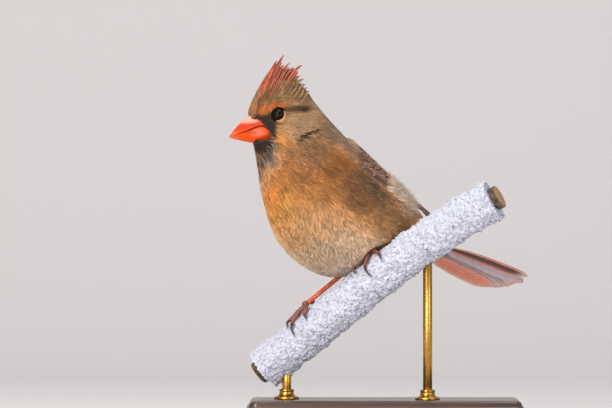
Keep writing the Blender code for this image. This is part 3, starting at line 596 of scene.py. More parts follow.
def inside_outline(x, z, outline):
    """Whether side-view points lie inside a closed outline, by counting crossings."""
    inside = np.zeros(x.shape, bool)
    for (ax, az), (bx, bz) in zip(outline, np.roll(outline, -1, axis=0)):
        crosses = (az > z) != (bz > z)
        step = bz - az if bz != az else 1e-9
        inside ^= crosses & (x < (bx - ax) * (z - az) / step + ax)
    return inside


def tucked_under_bill(points, places):
    """Draws the skin in beside the bill, so that the horn's own surface shows there."""
    x, y, z = head_side_view(points)
    tucked = inside_outline(x, z, BILL_OPENING) & (places < FACE_SECTIONS)
    inset = np.where(tucked, TUCKED_WIDTH * y - y, 0.0)
    return points + inset[..., None] * HEAD_LEFT


skin_places = np.linspace(0, LAST_SECTION, SKIN_RINGS)[:, None]
skin_angles = np.linspace(0, 2 * np.pi, SKIN_AROUND, endpoint=False)[None, :]
skin_rings = clear_of_perch(skin_points(BODY_SECTIONS, skin_places, skin_angles, -COAT_DEPTH))
skin_rings = tucked_under_bill(skin_rings, skin_places + 0 * skin_angles)
skin = loft("skin", skin_rings, SKIN_IN_PAINTED_SHADE)
skin_colours = plumage_colour(skin_places + 0 * skin_angles, skin_angles + 0 * skin_places)
paint(skin, "plumage", skin_colours.reshape(-1, 3))
dress(skin, "head", "neck", "torso", slot="plumage")

# %% [markdown]
# ## The coat
# Each small body feather shows as a fan of fine barbs.  A tuft here is such a fan: tapered, three-sided
# closed strands from one root, which follow the body's curve because every point of a strand is read from
# the same surface.  Roots sit in the skin, tips reach the outline of the solids, and each row overlaps the
# next.  Tufts are small and short on the face and longer towards the flanks.

# %% Closed strands
RNG = np.random.default_rng(20)
UV_PATCH = 0.003
STRAND_WIDTH = ((0.0, 0.8), (0.35, 1.0), (0.72, 0.72), (1.0, 0.0))


def strand_object(name, points, shares, out, half, colours, bake):
    """Joins closed, three-sided tapered strands.  Points and colours are arrays of strands by steps, out
    is the side that a strand's ridge faces, and bake is each step's place on the bake map."""
    total, steps = points.shape[:2]
    way = np.gradient(points, axis=1)
    way /= np.linalg.norm(way, axis=2, keepdims=True)
    across = np.cross(way, out[:, None, :])
    across /= np.linalg.norm(across, axis=2, keepdims=True)
    over = np.cross(across, way)
    widths = np.interp(shares, *zip(*STRAND_WIDTH))
    half = np.reshape(half, (-1, 1, 1)) * widths[None, :, None]
    left, right, top = points + across * half, points - across * half, points + over * half * 0.9
    body = np.stack([left[:, :-1], right[:, :-1], top[:, :-1]], axis=2).reshape(total, -1, 3)
    vertices = np.concatenate([body, points[:, -1:]], axis=1)
    size = vertices.shape[1]
    faces = [(0, 1, 2)]
    for ring in range(0, 3 * (steps - 2), 3):
        for i in range(3):
            j = (i + 1) % 3
            faces += [(ring + i, ring + 3 + j, ring + j), (ring + i, ring + 3 + i, ring + 3 + j)]
    last = 3 * (steps - 2)
    faces += [(last + i, size - 1, last + (i + 1) % 3) for i in range(3)]
    faces = (np.array(faces)[None] + (np.arange(total) * size)[:, None, None]).reshape(-1, 3)
    step_of = np.concatenate([np.repeat(np.arange(steps - 1), 3), [steps - 1]])
    made = mesh_object(name, vertices.reshape(-1, 3), faces, BARBS)
    paint(made, "plumage", held(np.maximum(colours[:, step_of].reshape(-1, 3), 0.002)))
    places = bake[:, step_of].reshape(-1, 2)[faces.reshape(-1)]
    made.data.uv_layers.new(name="OFBake").data.foreach_set("uv", places.ravel().astype(np.float32))
    return made


def bake_places(places, angles, aside, shares):
    """Places on the bake map: the skin unrolled by angle and section, plus a small patch for each tuft."""
    u = (angles / (2 * np.pi) + 0.5) % 1.0 + UV_PATCH * (aside - 0.5)
    v = places / (len(BODY_SECTIONS) - 1)
    v = v[:, None] + UV_PATCH * (np.asarray(shares)[None, :] - 0.5)
    return np.stack([np.broadcast_to(u[:, None], v.shape), v], -1)


# %% Growing tufts
STRAND_RISE = ((0.0, -0.25), (0.3, 0.62), (0.7, 1.0), (1.0, 1.0))
# The step of a strand that shows most, past the next row's roots: its colour is read there.
SHOWN_STEP = 2
# Painted shade at a strand's root, deep in the coat, spread of tone from tuft to tuft, and how far a strand
# may sink by the perch.
ROOT_SHADE, TUFT_TONE, COAT_SINK = 0.62, 0.11, 0.5


def surface_frame(sections, places, angles, lift):
    """A point with its derivatives by section and by angle, and the outward normal."""
    step = 0.01
    here = skin_points(sections, places, angles, lift)
    by_place = (skin_points(sections, places + step, angles, lift) - here) / step
    by_angle = (skin_points(sections, places, angles + step, lift) - here) / step
    normal = np.cross(by_angle, by_place)
    out = skin_points(sections, places, angles, lift + 1.0) - here
    normal *= np.sign((normal * out).sum(-1, keepdims=True))
    normal /= np.linalg.norm(normal, axis=-1, keepdims=True)
    return here, by_place, by_angle, normal


def tuft_roots(first, last, spacing, low=-180.0, high=180.0):
    """Roots in staggered rows, about a spacing apart, between two sections and two angles in degrees."""
    roots = []
    place, row = first, 0
    ring_angles = np.radians(np.linspace(low, high, 121))
    while place < last:
        ring = skin_points(BODY_SECTIONS, place, ring_angles)
        next_ring = skin_points(BODY_SECTIONS, place + 0.05, ring_angles)
        along = np.linalg.norm(next_ring - ring, axis=1).mean() / 0.05
        length = np.concatenate([[0], np.cumsum(np.linalg.norm(np.diff(ring, axis=0), axis=1))])
        count = max(3, round(length[-1] / spacing))
        spots = (np.arange(count) + 0.5 * (row % 2) + RNG.uniform(-0.3, 0.3, count)) / count * length[-1]
        angles = np.interp(spots, length, ring_angles)
        places = place + RNG.uniform(-0.35, 0.35, count) * spacing / along
        roots.append(np.stack([places, angles], -1))
        place += spacing / along
        row += 1
    return np.concatenate(roots)


def grow(name, roots, strands, length, half_width, fan=14.0, turn=0.0, rise=COAT_DEPTH, proud=0.0,
         lift=-COAT_DEPTH, tone=0.2, tip_light=1.12, sections=BODY_SECTIONS, keep=None,
         colours=plumage_colour):
    """Grows one joined coat piece from roots (section, angle).  Length, half width, turn, rise and proud
    may each be a number or a function of section and angle."""
    roots = np.asarray(roots)
    count, (place, angle) = len(roots), roots.T

    def at_roots(value):
        found = value(place, angle) if callable(value) else value
        return np.broadcast_to(np.asarray(found, float), (count,))[:, None]

    shares = np.array([share for share, _ in STRAND_RISE])
    spread = np.linspace(-1, 1, strands)[None, :] + RNG.uniform(-0.25, 0.25, (count, strands))
    swing = np.radians(at_roots(turn) + fan * spread)
    long = at_roots(length) * (1 - 0.2 * spread**2) * (1 + RNG.normal(0, 0.16, (count, strands)))
    _, by_place, by_angle, normal = surface_frame(sections, place, angle, lift)
    reach = np.linalg.norm(by_place, axis=-1, keepdims=True)
    lean = (by_angle * by_place).sum(-1, keepdims=True) / reach
    aside_length = np.sqrt((by_angle**2).sum(-1, keepdims=True) - lean**2)
    heading = swing[..., None]
    start_back = RNG.uniform(-0.15, 0.15, (count, strands)) * long
    start_aside = spread * 0.12 * long
    along = start_back[..., None] + long[..., None] * shares * np.cos(heading)
    aside = start_aside[..., None] + long[..., None] * shares * np.sin(heading)
    angle_step = aside / aside_length[..., None]
    place_step = (along - lean[..., None] * angle_step) / reach[..., None]
    places = np.clip(place[:, None, None] + place_step, 0, len(sections) - 1.01)
    angles = angle[:, None, None] + angle_step
    heights = np.array([height for _, height in STRAND_RISE]) * at_roots(rise)[..., None]
    heights = heights + RNG.uniform(-0.3, 0.25, (count, strands, 1)) * (shares > 0)
    tips = np.interp(shares, (0.5, 0.7, 1.0), (0.0, 0.4, 1.0))
    heights = heights + (at_roots(proud) * (1 + RNG.normal(0, 0.35, (count, strands))))[..., None] * tips
    points = clear_of_perch(skin_points(sections, places, angles, lift + heights), less=COAT_SINK)
    kept = np.ones((count, strands), bool) if keep is None else keep(points)
    tuft = np.broadcast_to(np.arange(count)[:, None], (count, strands))[kept]
    aside_share = np.broadcast_to(np.linspace(0, 1, strands)[None], (count, strands))[kept]
    hues = colours(places[..., SHOWN_STEP], angles[..., SHOWN_STEP])
    hues = hues * (1 + RNG.normal(0, TUFT_TONE, (count, 1, 1)))
    colour = hues[kept] * (1 + RNG.normal(0, tone, (len(tuft), 1)))
    # Strands are painted darker towards the root, as painted shade deep in the coat, and lighter towards the
    # tip.
    fade = np.interp(shares, (0, 0.4, 1), (ROOT_SHADE, 0.95, tip_light))
    half = (at_roots(half_width)[:, 0])[tuft] * RNG.uniform(0.75, 1.25, len(tuft))
    bake = bake_places(place[tuft], angle[tuft], aside_share, shares)
    made = strand_object(
        name, points[kept], shares, normal[tuft], half, colour[:, None] * fade[None, :, None], bake
    )
    return dress(made, slot="plumage")


# %% [markdown]
# ### Where tufts may grow
# No tuft covers an eye, sits on the bill, or grows under the folded wings, where nobody could see it.

# %% Limits of the coat
EYE_PLACE = (12.5, 18.7)
EYE_OUT = 8.5
EYE_RADIUS = 3.6
EYE_CLEAR = 4.3
# The wing's area on the sleeve: section, upper and lower degrees.
WING_AREA = np.array([
    (8.9, 44, 54),
    (9.5, 35, 57),
    (10.3, 28, 56),
    (11.2, 22, 52),
    (12.2, 17, 45),
    (13.2, 13, 38),
    (14.6, 9, 30),
])


def off_the_face_parts(points):
    """Keeps strands whose outer points miss the eyes and the bill, seen from the side of the head."""
    x, y, z = head_side_view(points)
    near_head = np.abs(y) < 20
    eye = np.hypot(x - EYE_PLACE[0], z - EYE_PLACE[1]) < EYE_CLEAR
    bill = inside_outline(x, z, BILL_OPENING)
    bad = (eye & (np.abs(y) > 6)) | bill
    return ~(bad & near_head)[..., 1:].any(axis=-1)


def under_wing(roots, margin=0.0):
    """Whether roots lie under a folded wing."""
    degrees = np.abs(np.degrees((roots[:, 1] + np.pi) % (2 * np.pi) - np.pi))
    upper = np.interp(roots[:, 0], WING_AREA[:, 0], WING_AREA[:, 1]) + margin
    lower = np.interp(roots[:, 0], WING_AREA[:, 0], WING_AREA[:, 2]) - margin
    inside = (roots[:, 0] > WING_AREA[0, 0]) & (roots[:, 0] < WING_AREA[-1, 0])
    return inside & (degrees > upper) & (degrees < lower)


# %% Tufts from the face to the tail
TURN_FADE = 20.0


def turned_back(degrees, low=-90.0, high=270.0):
    """A turn towards the back on both sides, for roots between two angles from the back."""
    def turn(places, angles):
        away = np.abs(np.degrees(angles))
        share = np.clip(np.minimum(away - low, high - away) / TURN_FADE, 0, 1)
        return -degrees * share * np.sign(angles)
    return turn


def coat(name, first, last, spacing, strands, length, half_width, **options):
    roots = tuft_roots(first, last, spacing)
    roots = roots[~under_wing(roots, margin=4.0)]
    if first < 8:
        options.setdefault("keep", off_the_face_parts)
    return grow(name, roots, strands, length, half_width, **options)


coat("coat_face", 0.5, 4.6, 1.4, 10, 3.4, 0.11, rise=1.4, fan=15)
coat("coat_cheek", 4.6, 6.4, 1.8, 14, 7.0, 0.12, fan=11, turn=turned_back(34, 20, 130))
coat("coat_nape", 6.4, 7.9, 2.3, 16, 9.0, 0.15, fan=12, proud=0.3, turn=turned_back(14, 30, 130))
coat("coat_breast", 7.9, 9.3, 2.6, 18, 10.5, 0.17, proud=0.35, turn=turned_back(-34, 100, 186))
coat("coat_shoulder", 9.3, 10.4, 2.6, 18, 11.0, 0.18, proud=0.35, turn=turned_back(-26, 100, 186))
coat("coat_belly", 10.4, 11.5, 2.6, 18, 11.0, 0.18, proud=0.35, turn=turned_back(-18, 100, 186))
coat("coat_flank", 11.5, 12.7, 2.6, 18, 11.0, 0.18)
coat("coat_vent", 12.7, 14.6, 2.7, 11, 10.0, 0.24)
coat("coat_rump", 14.6, 16.8, 2.4, 12, 7.5, 0.2)

# %% [markdown]
# ### Wisps and fluff
# Where the photo shows feathers standing off the body, a second, sparser growth is added: pale hairs on
# the black chin and throat, a dark streak of painted shade where the cheek's feathers part, and long cream
# down that spills over the wing's edge.

# %% Loose growth
def both_sides(first, last, spacing, low, high):
    """Roots in one patch of the left side and its mirror image."""
    left = tuft_roots(first, last, spacing, low, high)
    return np.concatenate([left, left * (1, -1)])


def one_colour(*codes):
    """A colour function that picks one of these colours for each strand."""
    def pick(places, angles):
        return np.array([linear(code) for code in codes])[RNG.integers(len(codes), size=places.shape)]
    return pick


grow("chin_bristles", both_sides(0.8, 4.6, 2.0, 100, 178), 6, 4.6, 0.12, fan=20, proud=0.8,
     keep=off_the_face_parts, colours=one_colour("#1B1715", "#26201D", "#3A322D"))
grow("throat_wisps", both_sides(3.8, 5.9, 2.1, 108, 178), 4, 5.2, 0.09, fan=26, proud=1.0,
     keep=off_the_face_parts, colours=one_colour("#B5A99E", "#8D8178", "#CFC6BC", "#5B5049"))
grow("flank_fluff", both_sides(10.4, 11.8, 1.7, 38, 62), 16, 7.5, 0.12, fan=34, proud=2.6, rise=3.0,
     turn=turned_back(22), tip_light=1.25, colours=one_colour("#E8D2BC", "#DCC0A0", "#F4E8DC", "#C09C7A"))
# Dark strands of painted shade where the cheek's feathers part.
EAR_SHADE_ENDS, EAR_SHADE_TUFTS = ((6.25, 82), (6.9, 60)), 9
ear_roots = np.linspace(*EAR_SHADE_ENDS, EAR_SHADE_TUFTS) * (1, math.pi / 180)
grow("ear_shade_streak", np.concatenate([ear_roots, ear_roots * (1, -1)]), 10, 4.6, 0.14, fan=5, proud=0.6,
     turn=turned_back(55), colours=one_colour("#120C08", "#1E140E"))

# %% [markdown]
# ## The crest
# A cardinal's crest is a tuft of long, soft, pointed feathers on the crown.  Each is drawn as barbs that
# leave its shaft at a narrow angle, so that its edge is ragged and its tip a point.  The feathers gather
# in a few spikes along the crest's own outline, with shorter ones that fill in between, tan at the back.

# %% Feathers of the crest
CREST_ROOTS = np.array([
    (28.0, 23.0), (25.6, 27.0), (22.6, 30.6), (18.6, 34.0), (13.6, 36.0), (8.0, 36.0), (2.0, 33.0),
])
CREST_TIPS = np.array([
    (17.5, 40.0), (12.2, 49.0), (7.9, 52.2), (4.8, 48.0), (-1.2, 46.3), (-2.8, 38.4), (-5.8, 31.8),
])
# Colour at the root, in the middle and at the tip, from the crest's front to its back.
CREST_COLOURS = (
    ("#6E5230", "#94582F", "#B05A34"),
    ("#7E5C38", "#A85634", "#BE5438"),
    ("#805A38", "#AC5232", "#C8644A"),
    ("#84603C", "#B05A3A", "#CE8068"),
    ("#8C6A42", "#B06A48", "#CC644C"),
    ("#94744E", "#A68460", "#BE9A80"),
    ("#8E7250", "#9E8464", "#AE9478"),
)
# How far the outermost feathers are rooted down the side of the crown, and how far apart tips stand.
CREST_SIDE_SHIFT, CREST_TIP_SPREAD, CREST_BEND = np.array([-1.0, -8.0]), 1.5, 0.03
CREST_CLEAR, CREST_BARB, PALE_SHARE = 1.0, 0.12, 0.16
PALE_BARB = "#D9A08A"
# Spikes along the crest, feathers along and across it that form them, and shorter ones between.
SPIKES, SPIKE_ROWS, SPIKE_FEATHERS, FILLING_FEATHERS = 6, 19, 8, 100
CROWN_ROWS = BODY_SECTIONS[6::-1]
CROWN_MIDDLE, CROWN_FULLNESS = 14.0, 1.8


def crown_half_width(ahead, up):
    """Half width of the crown at places of the side view, and nothing above its top."""
    top, widest = (np.interp(ahead, CROWN_ROWS[:, 1], CROWN_ROWS[:, column]) for column in (2, 5))
    share = np.clip((up - CROWN_MIDDLE) / (top - CROWN_MIDDLE), 0, 1)
    return widest * (1 - share**CROWN_FULLNESS) ** (1 / CROWN_FULLNESS)


def crest_feather(share, side, long, barbs, width, lean):
    """Barbs of one feather: points, colours and the side that their ridges face."""
    row = share * (len(CREST_ROOTS) - 1)
    root, tip = (spline_rows(line, row)[0] for line in (CREST_ROOTS, CREST_TIPS))
    tip = root + (tip - root) * long + np.array([lean, 0.0])
    root = root + abs(side) * CREST_SIDE_SHIFT
    bend = (root + tip) / 2 + CREST_BEND * np.array((tip[1] - root[1], root[0] - tip[0]))
    begin = np.minimum(RNG.uniform(0.0, 0.82, barbs) ** 0.8, 0.8)
    end = np.minimum(begin + RNG.uniform(0.28, 0.5, barbs), 1.0)
    t = begin[:, None] + (end - begin)[:, None] * np.linspace(0, 1, 6)
    x, z = (
        root[i] * (1 - t) ** 2 + bend[i] * 2 * t * (1 - t) + tip[i] * t**2 for i in (0, 1)
    )
    off = RNG.uniform(-1, 1, barbs)[:, None] * width * ((t - begin[:, None]) / 0.4) ** 1.2
    off = off * np.interp(t, (0, 0.3, 0.7, 1.0), (0.7, 1.0, 0.75, 0.25))
    along = (tip - root) / np.linalg.norm(tip - root)
    x, z = x + off * along[1], z - off * along[0]
    start = crown_half_width(*root)
    y = np.maximum(start * (1 - t) ** 1.5 + CREST_TIP_SPREAD * t, crown_half_width(x, z) + CREST_CLEAR)
    y = y * side + RNG.normal(0, 0.25, barbs)[:, None] * t
    points = PIVOT + x[..., None] * HEAD_AHEAD + y[..., None] * HEAD_LEFT + z[..., None] * UP
    rows = np.array([[linear(code) for code in codes] for codes in CREST_COLOURS])
    codes = spline_rows(rows.reshape(len(rows), -1), row).reshape(3, 3)
    colours = np.stack([np.interp(t, (0.15, 0.62, 1.0), codes[:, i]) for i in range(3)], -1)
    pale = (RNG.random((barbs, 1, 1)) < PALE_SHARE) * np.clip(t * 1.6 - 0.5, 0, 0.8)[..., None]
    colours = colours + (linear(PALE_BARB) - colours) * pale
    colours = colours * (1 + RNG.normal(0, 0.3, (barbs, 1, 1))) * (1 + RNG.normal(0, 0.12))
    facing_out = np.sign(side + 1e-6) * HEAD_LEFT + 0.2 * UP
    return points, colours, np.repeat([facing_out], barbs, axis=0), share


def crest_feathers():
    """The spikes, in tight bundles, then the shorter feathers between them."""
    made = []
    for share in np.linspace(0.0, 1.0, SPIKE_ROWS):
        spike = 0.72 + 0.28 * (0.5 + 0.5 * np.cos(share * 2 * np.pi * SPIKES)) ** 0.7
        for side in np.linspace(-1, 1, SPIKE_FEATHERS):
            long = spike * (1 - 0.12 * abs(side)) * RNG.uniform(0.9, 1.02)
            made.append(crest_feather(share, side, long, 24, 0.8, RNG.normal(0, 0.4)))
    for share in RNG.uniform(0.0, 1.0, FILLING_FEATHERS):
        side = RNG.uniform(-1.1, 1.1)
        made.append(crest_feather(share, side, RNG.uniform(0.4, 0.8), 22, 1.0, RNG.normal(0, 0.6)))
    return made


crest_parts = crest_feathers()
crest_points, crest_hues, crest_out = (np.concatenate([part[i] for part in crest_parts]) for i in range(3))
crest_share = np.concatenate([np.full(len(part[0]), part[3]) for part in crest_parts])
crest_steps = np.linspace(0, 1, crest_points.shape[1])
crest_bake = bake_places(1.0 + 4.0 * crest_share, 0.3 * np.sign(crest_out[:, 1]), crest_share, crest_steps)
crest_half = np.full(len(crest_points), CREST_BARB)
crest = strand_object(
    "crest_plumes", crest_points, crest_steps, crest_out, crest_half, crest_hues, crest_bake
)
dress(crest, slot="plumage")

# %% Plumes of the crown
grow("crown_plumes", both_sides(1.4, 5.6, 1.5, 2, 58), 12, 7.5, 0.11, fan=12, turn=turned_back(30), rise=1.6,
     proud=0.3, tone=0.28, keep=off_the_face_parts)

# %% [markdown]
# ## Vanes
# Flight feathers are stiff vanes: a shaft along the middle, and two webs of barbs hooked together into a
# sheet.  Each is a thin closed body, arched across, with a raised shaft and worn edges.  A stored number
# runs along the barbs' slant, so that the material can draw single barbs at their real slope.

# %% The vanes' finish
BARB_SPACING_MM = 0.55


def vane_material():
    material, tree, shader = shader_of("hooked barbs of flight feathers", Roughness=0.5, Sheen_Weight=0.12)
    shader.inputs["Specular IOR Level"].default_value = 0.35
    colour = node(tree, "ShaderNodeAttribute", attribute_name="plumage").outputs["Color"]
    slant = node(tree, "ShaderNodeAttribute", attribute_name="slant").outputs["Fac"]
    turns = node(tree, "ShaderNodeMath", {0: slant, 1: 2 * math.pi / BARB_SPACING_MM}, operation="MULTIPLY")
    wave = node(tree, "ShaderNodeMath", {0: turns.outputs[0]}, operation="SINE").outputs[0]
    patches = spread_of(tree, noise_of(tree, 3.0), 0.3, 0.7, 0.84, 1.1)
    lines = spread_of(tree, wave, -1.0, 1.0, 0.9, 1.06)
    tone = node(tree, "ShaderNodeMath", {0: patches, 1: lines}, operation="MULTIPLY").outputs[0]
    tree.links.new(shaded(tree, colour, tone), shader.inputs["Base Color"])
    bump_of(tree, shader, wave, 0.35, 0.12)
    return material


VANES = vane_material()

# %% Building vanes
VANE_COLUMNS = np.array([-1.0, -0.93, -0.55, -0.08, 0.0, 0.08, 0.55, 0.93, 1.0])
VANE_STEPS = 18
VANE_THICKNESS, VANE_ARCH, SHAFT_HEIGHT = 0.2, 0.32, 0.16
FEATHER_OUTLINE = (
    (0.0, 0.45), (0.25, 0.85), (0.55, 1.0), (0.8, 0.96), (0.92, 0.78), (0.97, 0.52), (1.0, 0.1),
)
COVERT_OUTLINE = ((0.0, 0.7), (0.45, 1.0), (0.75, 0.95), (0.92, 0.68), (1.0, 0.15))
# How far back the barbs lie at a vane's edge, where its coloured edge starts and fades in, the inner
# edge's share of it, and the length of its worn tip.
BARB_SLANT, EDGE_START, EDGE_FADE, INNER_EDGE, WORN_TIP = 2.2, 0.6, 0.35, 0.35, 0.14


def vane_body(middles, normals, half_widths, tilt=0.0, shaft=0.0, arch=VANE_ARCH):
    """Rings of one vane from its root to its tip.  Shaft moves the quill towards one edge."""
    way = np.gradient(middles, axis=0)
    across = np.cross(normals, way)
    across /= np.linalg.norm(across, axis=1, keepdims=True)
    over = np.cross(way, across)
    over /= np.linalg.norm(over, axis=1, keepdims=True)
    ragged = 1 + RNG.normal(0, 0.018, (len(middles), 2))
    half = half_widths[:, None] * np.where(VANE_COLUMNS > 0, ragged[:, :1], ragged[:, 1:])
    aside = VANE_COLUMNS + shaft * (1 - np.abs(VANE_COLUMNS))
    ridge = SHAFT_HEIGHT * (VANE_COLUMNS == 0)
    height = tilt * aside * half + (arch * (1 - aside**2) * half / 3.0 + ridge)
    sheet = middles[:, None] + across[:, None] * (aside * half)[..., None]
    sheet = sheet + over[:, None] * height[..., None]
    depth = over[:, None] * (VANE_THICKNESS * np.where(np.abs(VANE_COLUMNS) == 1, 0.35, 1.0))[None, :, None]
    return np.concatenate([sheet + depth / 2, (sheet - depth / 2)[:, ::-1]], axis=1)


def vanes_object(name, bodies, colours, lengths):
    """Joins vane bodies of equal steps into one piece with its colours, barbs and bake map."""
    bodies, colours = np.array(bodies), np.array(colours)
    total, steps, around = bodies.shape[:3]
    columns = len(VANE_COLUMNS)
    i, j = np.meshgrid(np.arange(steps - 1), np.arange(around), indexing="ij")
    k = (j + 1) % around
    sides = np.stack([i * around + j, i * around + k, (i + 1) * around + k, (i + 1) * around + j], -1)
    sides = sides.reshape(-1, 4)
    rungs = np.arange(columns - 1)
    cap = np.stack([rungs, rungs + 1, around - 2 - rungs, around - 1 - rungs], -1)
    faces = np.concatenate([sides, cap[:, ::-1], cap + (steps - 1) * around])
    faces = (faces[None] + (np.arange(total) * steps * around)[:, None, None]).reshape(-1, 4)
    made = face_outwards(mesh_object(name, bodies.reshape(-1, 3), faces, VANES))
    paint(made, "plumage", np.clip(colours.reshape(-1, 3), 0.002, 1))
    across = np.concatenate([VANE_COLUMNS, VANE_COLUMNS[::-1]])
    shares = np.linspace(0, 1, steps)
    slant = shares[None, :, None] * np.asarray(lengths)[:, None, None]
    slant = slant - BARB_SLANT * np.abs(across)[None, None]
    stored = made.data.attributes.new("slant", "FLOAT", "POINT")
    stored.data.foreach_set("value", slant.ravel().astype(np.float32))
    place = (np.arange(total)[:, None, None] + 0.5 + 0.42 * across[None, None]) / total
    height = np.where(np.arange(around) < columns, 0.02, 0.52)[None, None] + 0.46 * shares[None, :, None]
    places = np.stack(np.broadcast_arrays(place, height), -1).reshape(-1, 2)
    corners = np.empty(len(made.data.loops), np.int32)
    made.data.loops.foreach_get("vertex_index", corners)
    made.data.uv_layers.new(name="OFBake").data.foreach_set("uv", places[corners].ravel().astype(np.float32))
    return made


def web_colours(inner, outer, edge, tip, side, steps):
    """Colours over one face of a vane: inner and outer webs, a narrow outer edge, and a worn tip."""
    across = VANE_COLUMNS * side
    share = np.linspace(0, 1, steps)[:, None, None]
    web = np.where(across[None, :, None] > -0.02, linear(outer), linear(inner))
    rim = np.clip((np.abs(across) - EDGE_START) / EDGE_FADE, 0, 1) * np.where(across > 0, 1, INNER_EDGE)
    face = web + (linear(edge) - web) * rim[None, :, None]
    face = face + (linear(tip) - face) * np.clip((share - 1 + WORN_TIP) / WORN_TIP, 0, 1)
    return np.where((VANE_COLUMNS == 0)[None, :, None], face * 0.75, face)


def vane_colours(upper, lower, side, lower_side, steps=VANE_STEPS):
    """Colours over both faces of one vane, each from its own inner web, outer web, edge and tip."""
    faces = [web_colours(*upper, side, steps), web_colours(*lower, lower_side, steps)]
    return np.concatenate([faces[0], faces[1][:, ::-1]], axis=1) * (1 + RNG.normal(0, 0.06))


# %% [markdown]
# ## The wings
# Folded wings stack in tiers like roof tiles: long primaries lowest, then secondaries and tertials, then
# coverts in shrinking rows up to the shoulder.  Each tier is one line of numbers on the wing's sleeve.
# The outer webs are edged with red, which is why the folded wing looks pink where the edges line up.

# %% Tiers of the wing
def sleeve_points(places, angles, lift):
    """Points at a height over the wings' sleeve, and its outward normals."""
    here, _, _, normal = surface_frame(SLEEVE_SECTIONS, places, angles, 0.0)
    return here + normal * lift[:, None], normal


# Count, root section, root angles, first and last tip section, tip angles, half width, height at root and
# tip, then the colours of the inner web, outer web, outer edge and tip.
WING_TIERS = (
    (11, 10.9, (38, 55), 15.05, 14.4, (8, 43), 2.1, 1.2, 2.6, ("#3A2622", "#6A3E34", "#D88A74", "#B48878")),
    (8, 10.2, (34, 55), 13.4, 12.8, (18, 36), 2.6, 1.3, 1.5, ("#3E2A24", "#6A3C30", "#C0705A", "#9A7868")),
    (3, 9.8, (31, 42), 12.9, 11.9, (16, 27), 3.6, 1.9, 2.1, ("#5A4436", "#6E5240", "#B49070", "#A88C78")),
    (12, 9.4, (31, 57), 10.9, 10.6, (27, 56), 1.9, 1.6, 2.4, ("#3A261E", "#6E3C2E", "#C0917A", "#A8866E")),
    (12, 8.95, (35, 57), 9.95, 9.8, (31, 57), 1.6, 1.4, 2.5, ("#4A3026", "#824A3A", "#C8A088", "#C0A68C")),
    (11, 8.55, (38, 57), 9.35, 9.3, (34, 57), 1.4, 1.1, 2.2, ("#66453A", "#985846", "#CCA890", "#C4AC94")),
)
SHINGLE_TILT = 0.14


def wing_vanes(name, node_name, side):
    bodies, colours, lengths = [], [], []
    shares = np.linspace(0, 1, VANE_STEPS)
    for count, root, roots, first, last, tips, half, low, high, codes in WING_TIERS:
        outline = FEATHER_OUTLINE if root > 9.5 else COVERT_OUTLINE
        widths = np.interp(shares, *zip(*outline)) * half
        for rank in np.linspace(0, 1, count):
            tip = first + (last - first) * rank**1.5 + RNG.normal(0, 0.02)
            start, end = (one + (two - one) * rank for one, two in (roots, tips))
            turns = side * np.radians(start + (end - start) * shares)
            heights = low + (high - low) * shares
            middles, normals = sleeve_points(root + (tip - root) * shares, turns, heights)
            bodies.append(vane_body(middles, normals, widths, side * SHINGLE_TILT, shaft=0.18 * side))
            colours.append(vane_colours(codes, codes, side, side))
            lengths.append(np.linalg.norm(np.diff(middles, axis=0), axis=1).sum())
    dress(vanes_object(name, bodies, colours, lengths), node_name, slot="flight_feathers")


wing_vanes("folded_wing_left", "wing_left", 1)
wing_vanes("folded_wing_right", "wing_right", -1)

# %% [markdown]
# The shoulder's own feathers, the scapulars, fall over the wing's upper rows and hide where it joins the
# body.  They are loose, so they are grown as tufts on the wings' sleeve, a little above the coverts.

# %% Scapulars and the shoulder's edge
def scapular_colour(places, angles):
    degrees = np.abs(np.degrees(angles))
    base = np.broadcast_to(linear("#B89C7C"), (*places.shape, 3)).copy()
    spots = (
        ("#B47A44", 8.6, 62, 0.8, 9, 0.8),
        ("#C4AE94", 9.5, 36, 0.6, 6, 0.7),
        ("#7A5C48", 9.3, 43, 0.4, 4, 0.7),
        ("#6A4E3C", 10.3, 33, 0.4, 5, 0.8),
    )
    return marked(base, places, degrees, spots)


grow("coat_scapulars", both_sides(8.5, 9.7, 1.8, 24, 43), 16, 9.5, 0.15, lift=-0.2, rise=2.7, fan=14,
     proud=0.3, tone=0.3, sections=SLEEVE_SECTIONS, colours=scapular_colour)
grow("wing_wisps", both_sides(8.9, 10.7, 2.0, 34, 56), 10, 6.0, 0.12, lift=1.4, rise=1.7, proud=0.6, fan=20,
     turn=turned_back(14), sections=SLEEVE_SECTIONS,
     colours=one_colour("#D8BEA4", "#8A5A46", "#4A3024", "#B98E76", "#9A4A38"))
grow("coat_wing_front", both_sides(7.9, 8.5, 1.8, 46, 66), 16, 9.5, 0.17, lift=-0.9, rise=2.4, fan=13)

# %% [markdown]
# ## The tail
# Twelve vanes, folded almost to one width, with the middle pair on top.  The photo shows them from below
# and behind the branch, where the webs are a greyish pink, partly their own colour and partly painted
# sheen, with salmon edges and dark brown inner webs.

# %% Tail feathers
TAIL_ROOT, TAIL_DROOP = (-97.8, -52.6), 18.3
# Length, distance of the tip from the middle line, and half width, from the middle out on each side.
TAIL_FEATHERS = {
    1: (
        (67.0, 2.2, 5.2), (67.0, 3.0, 5.4), (66.5, 3.8, 5.6),
        (66.0, 4.6, 5.8), (65.5, 5.2, 6.2), (60.5, 13.6, 4.6),
    ),
    -1: (
        (67.0, 2.2, 5.2), (66.5, 4.0, 5.2), (66.0, 6.0, 5.4),
        (64.0, 8.0, 5.6), (62.0, 9.5, 6.0), (57.5, 12.0, 7.0),
    ),
}
TAIL_PITCH, TAIL_MIDDLE_LEVEL, TAIL_STEP, TAIL_OPENING = 0.5, 2.5, 0.11, 0.35
TAIL_ROOT_ASIDE, TAIL_ROOT_SPREAD, TAIL_STARTS_AT = 0.6, 0.6, 2.6
TAIL_TOP = ("#54352B", "#8C4A38", "#B4604A", "#A07A66")
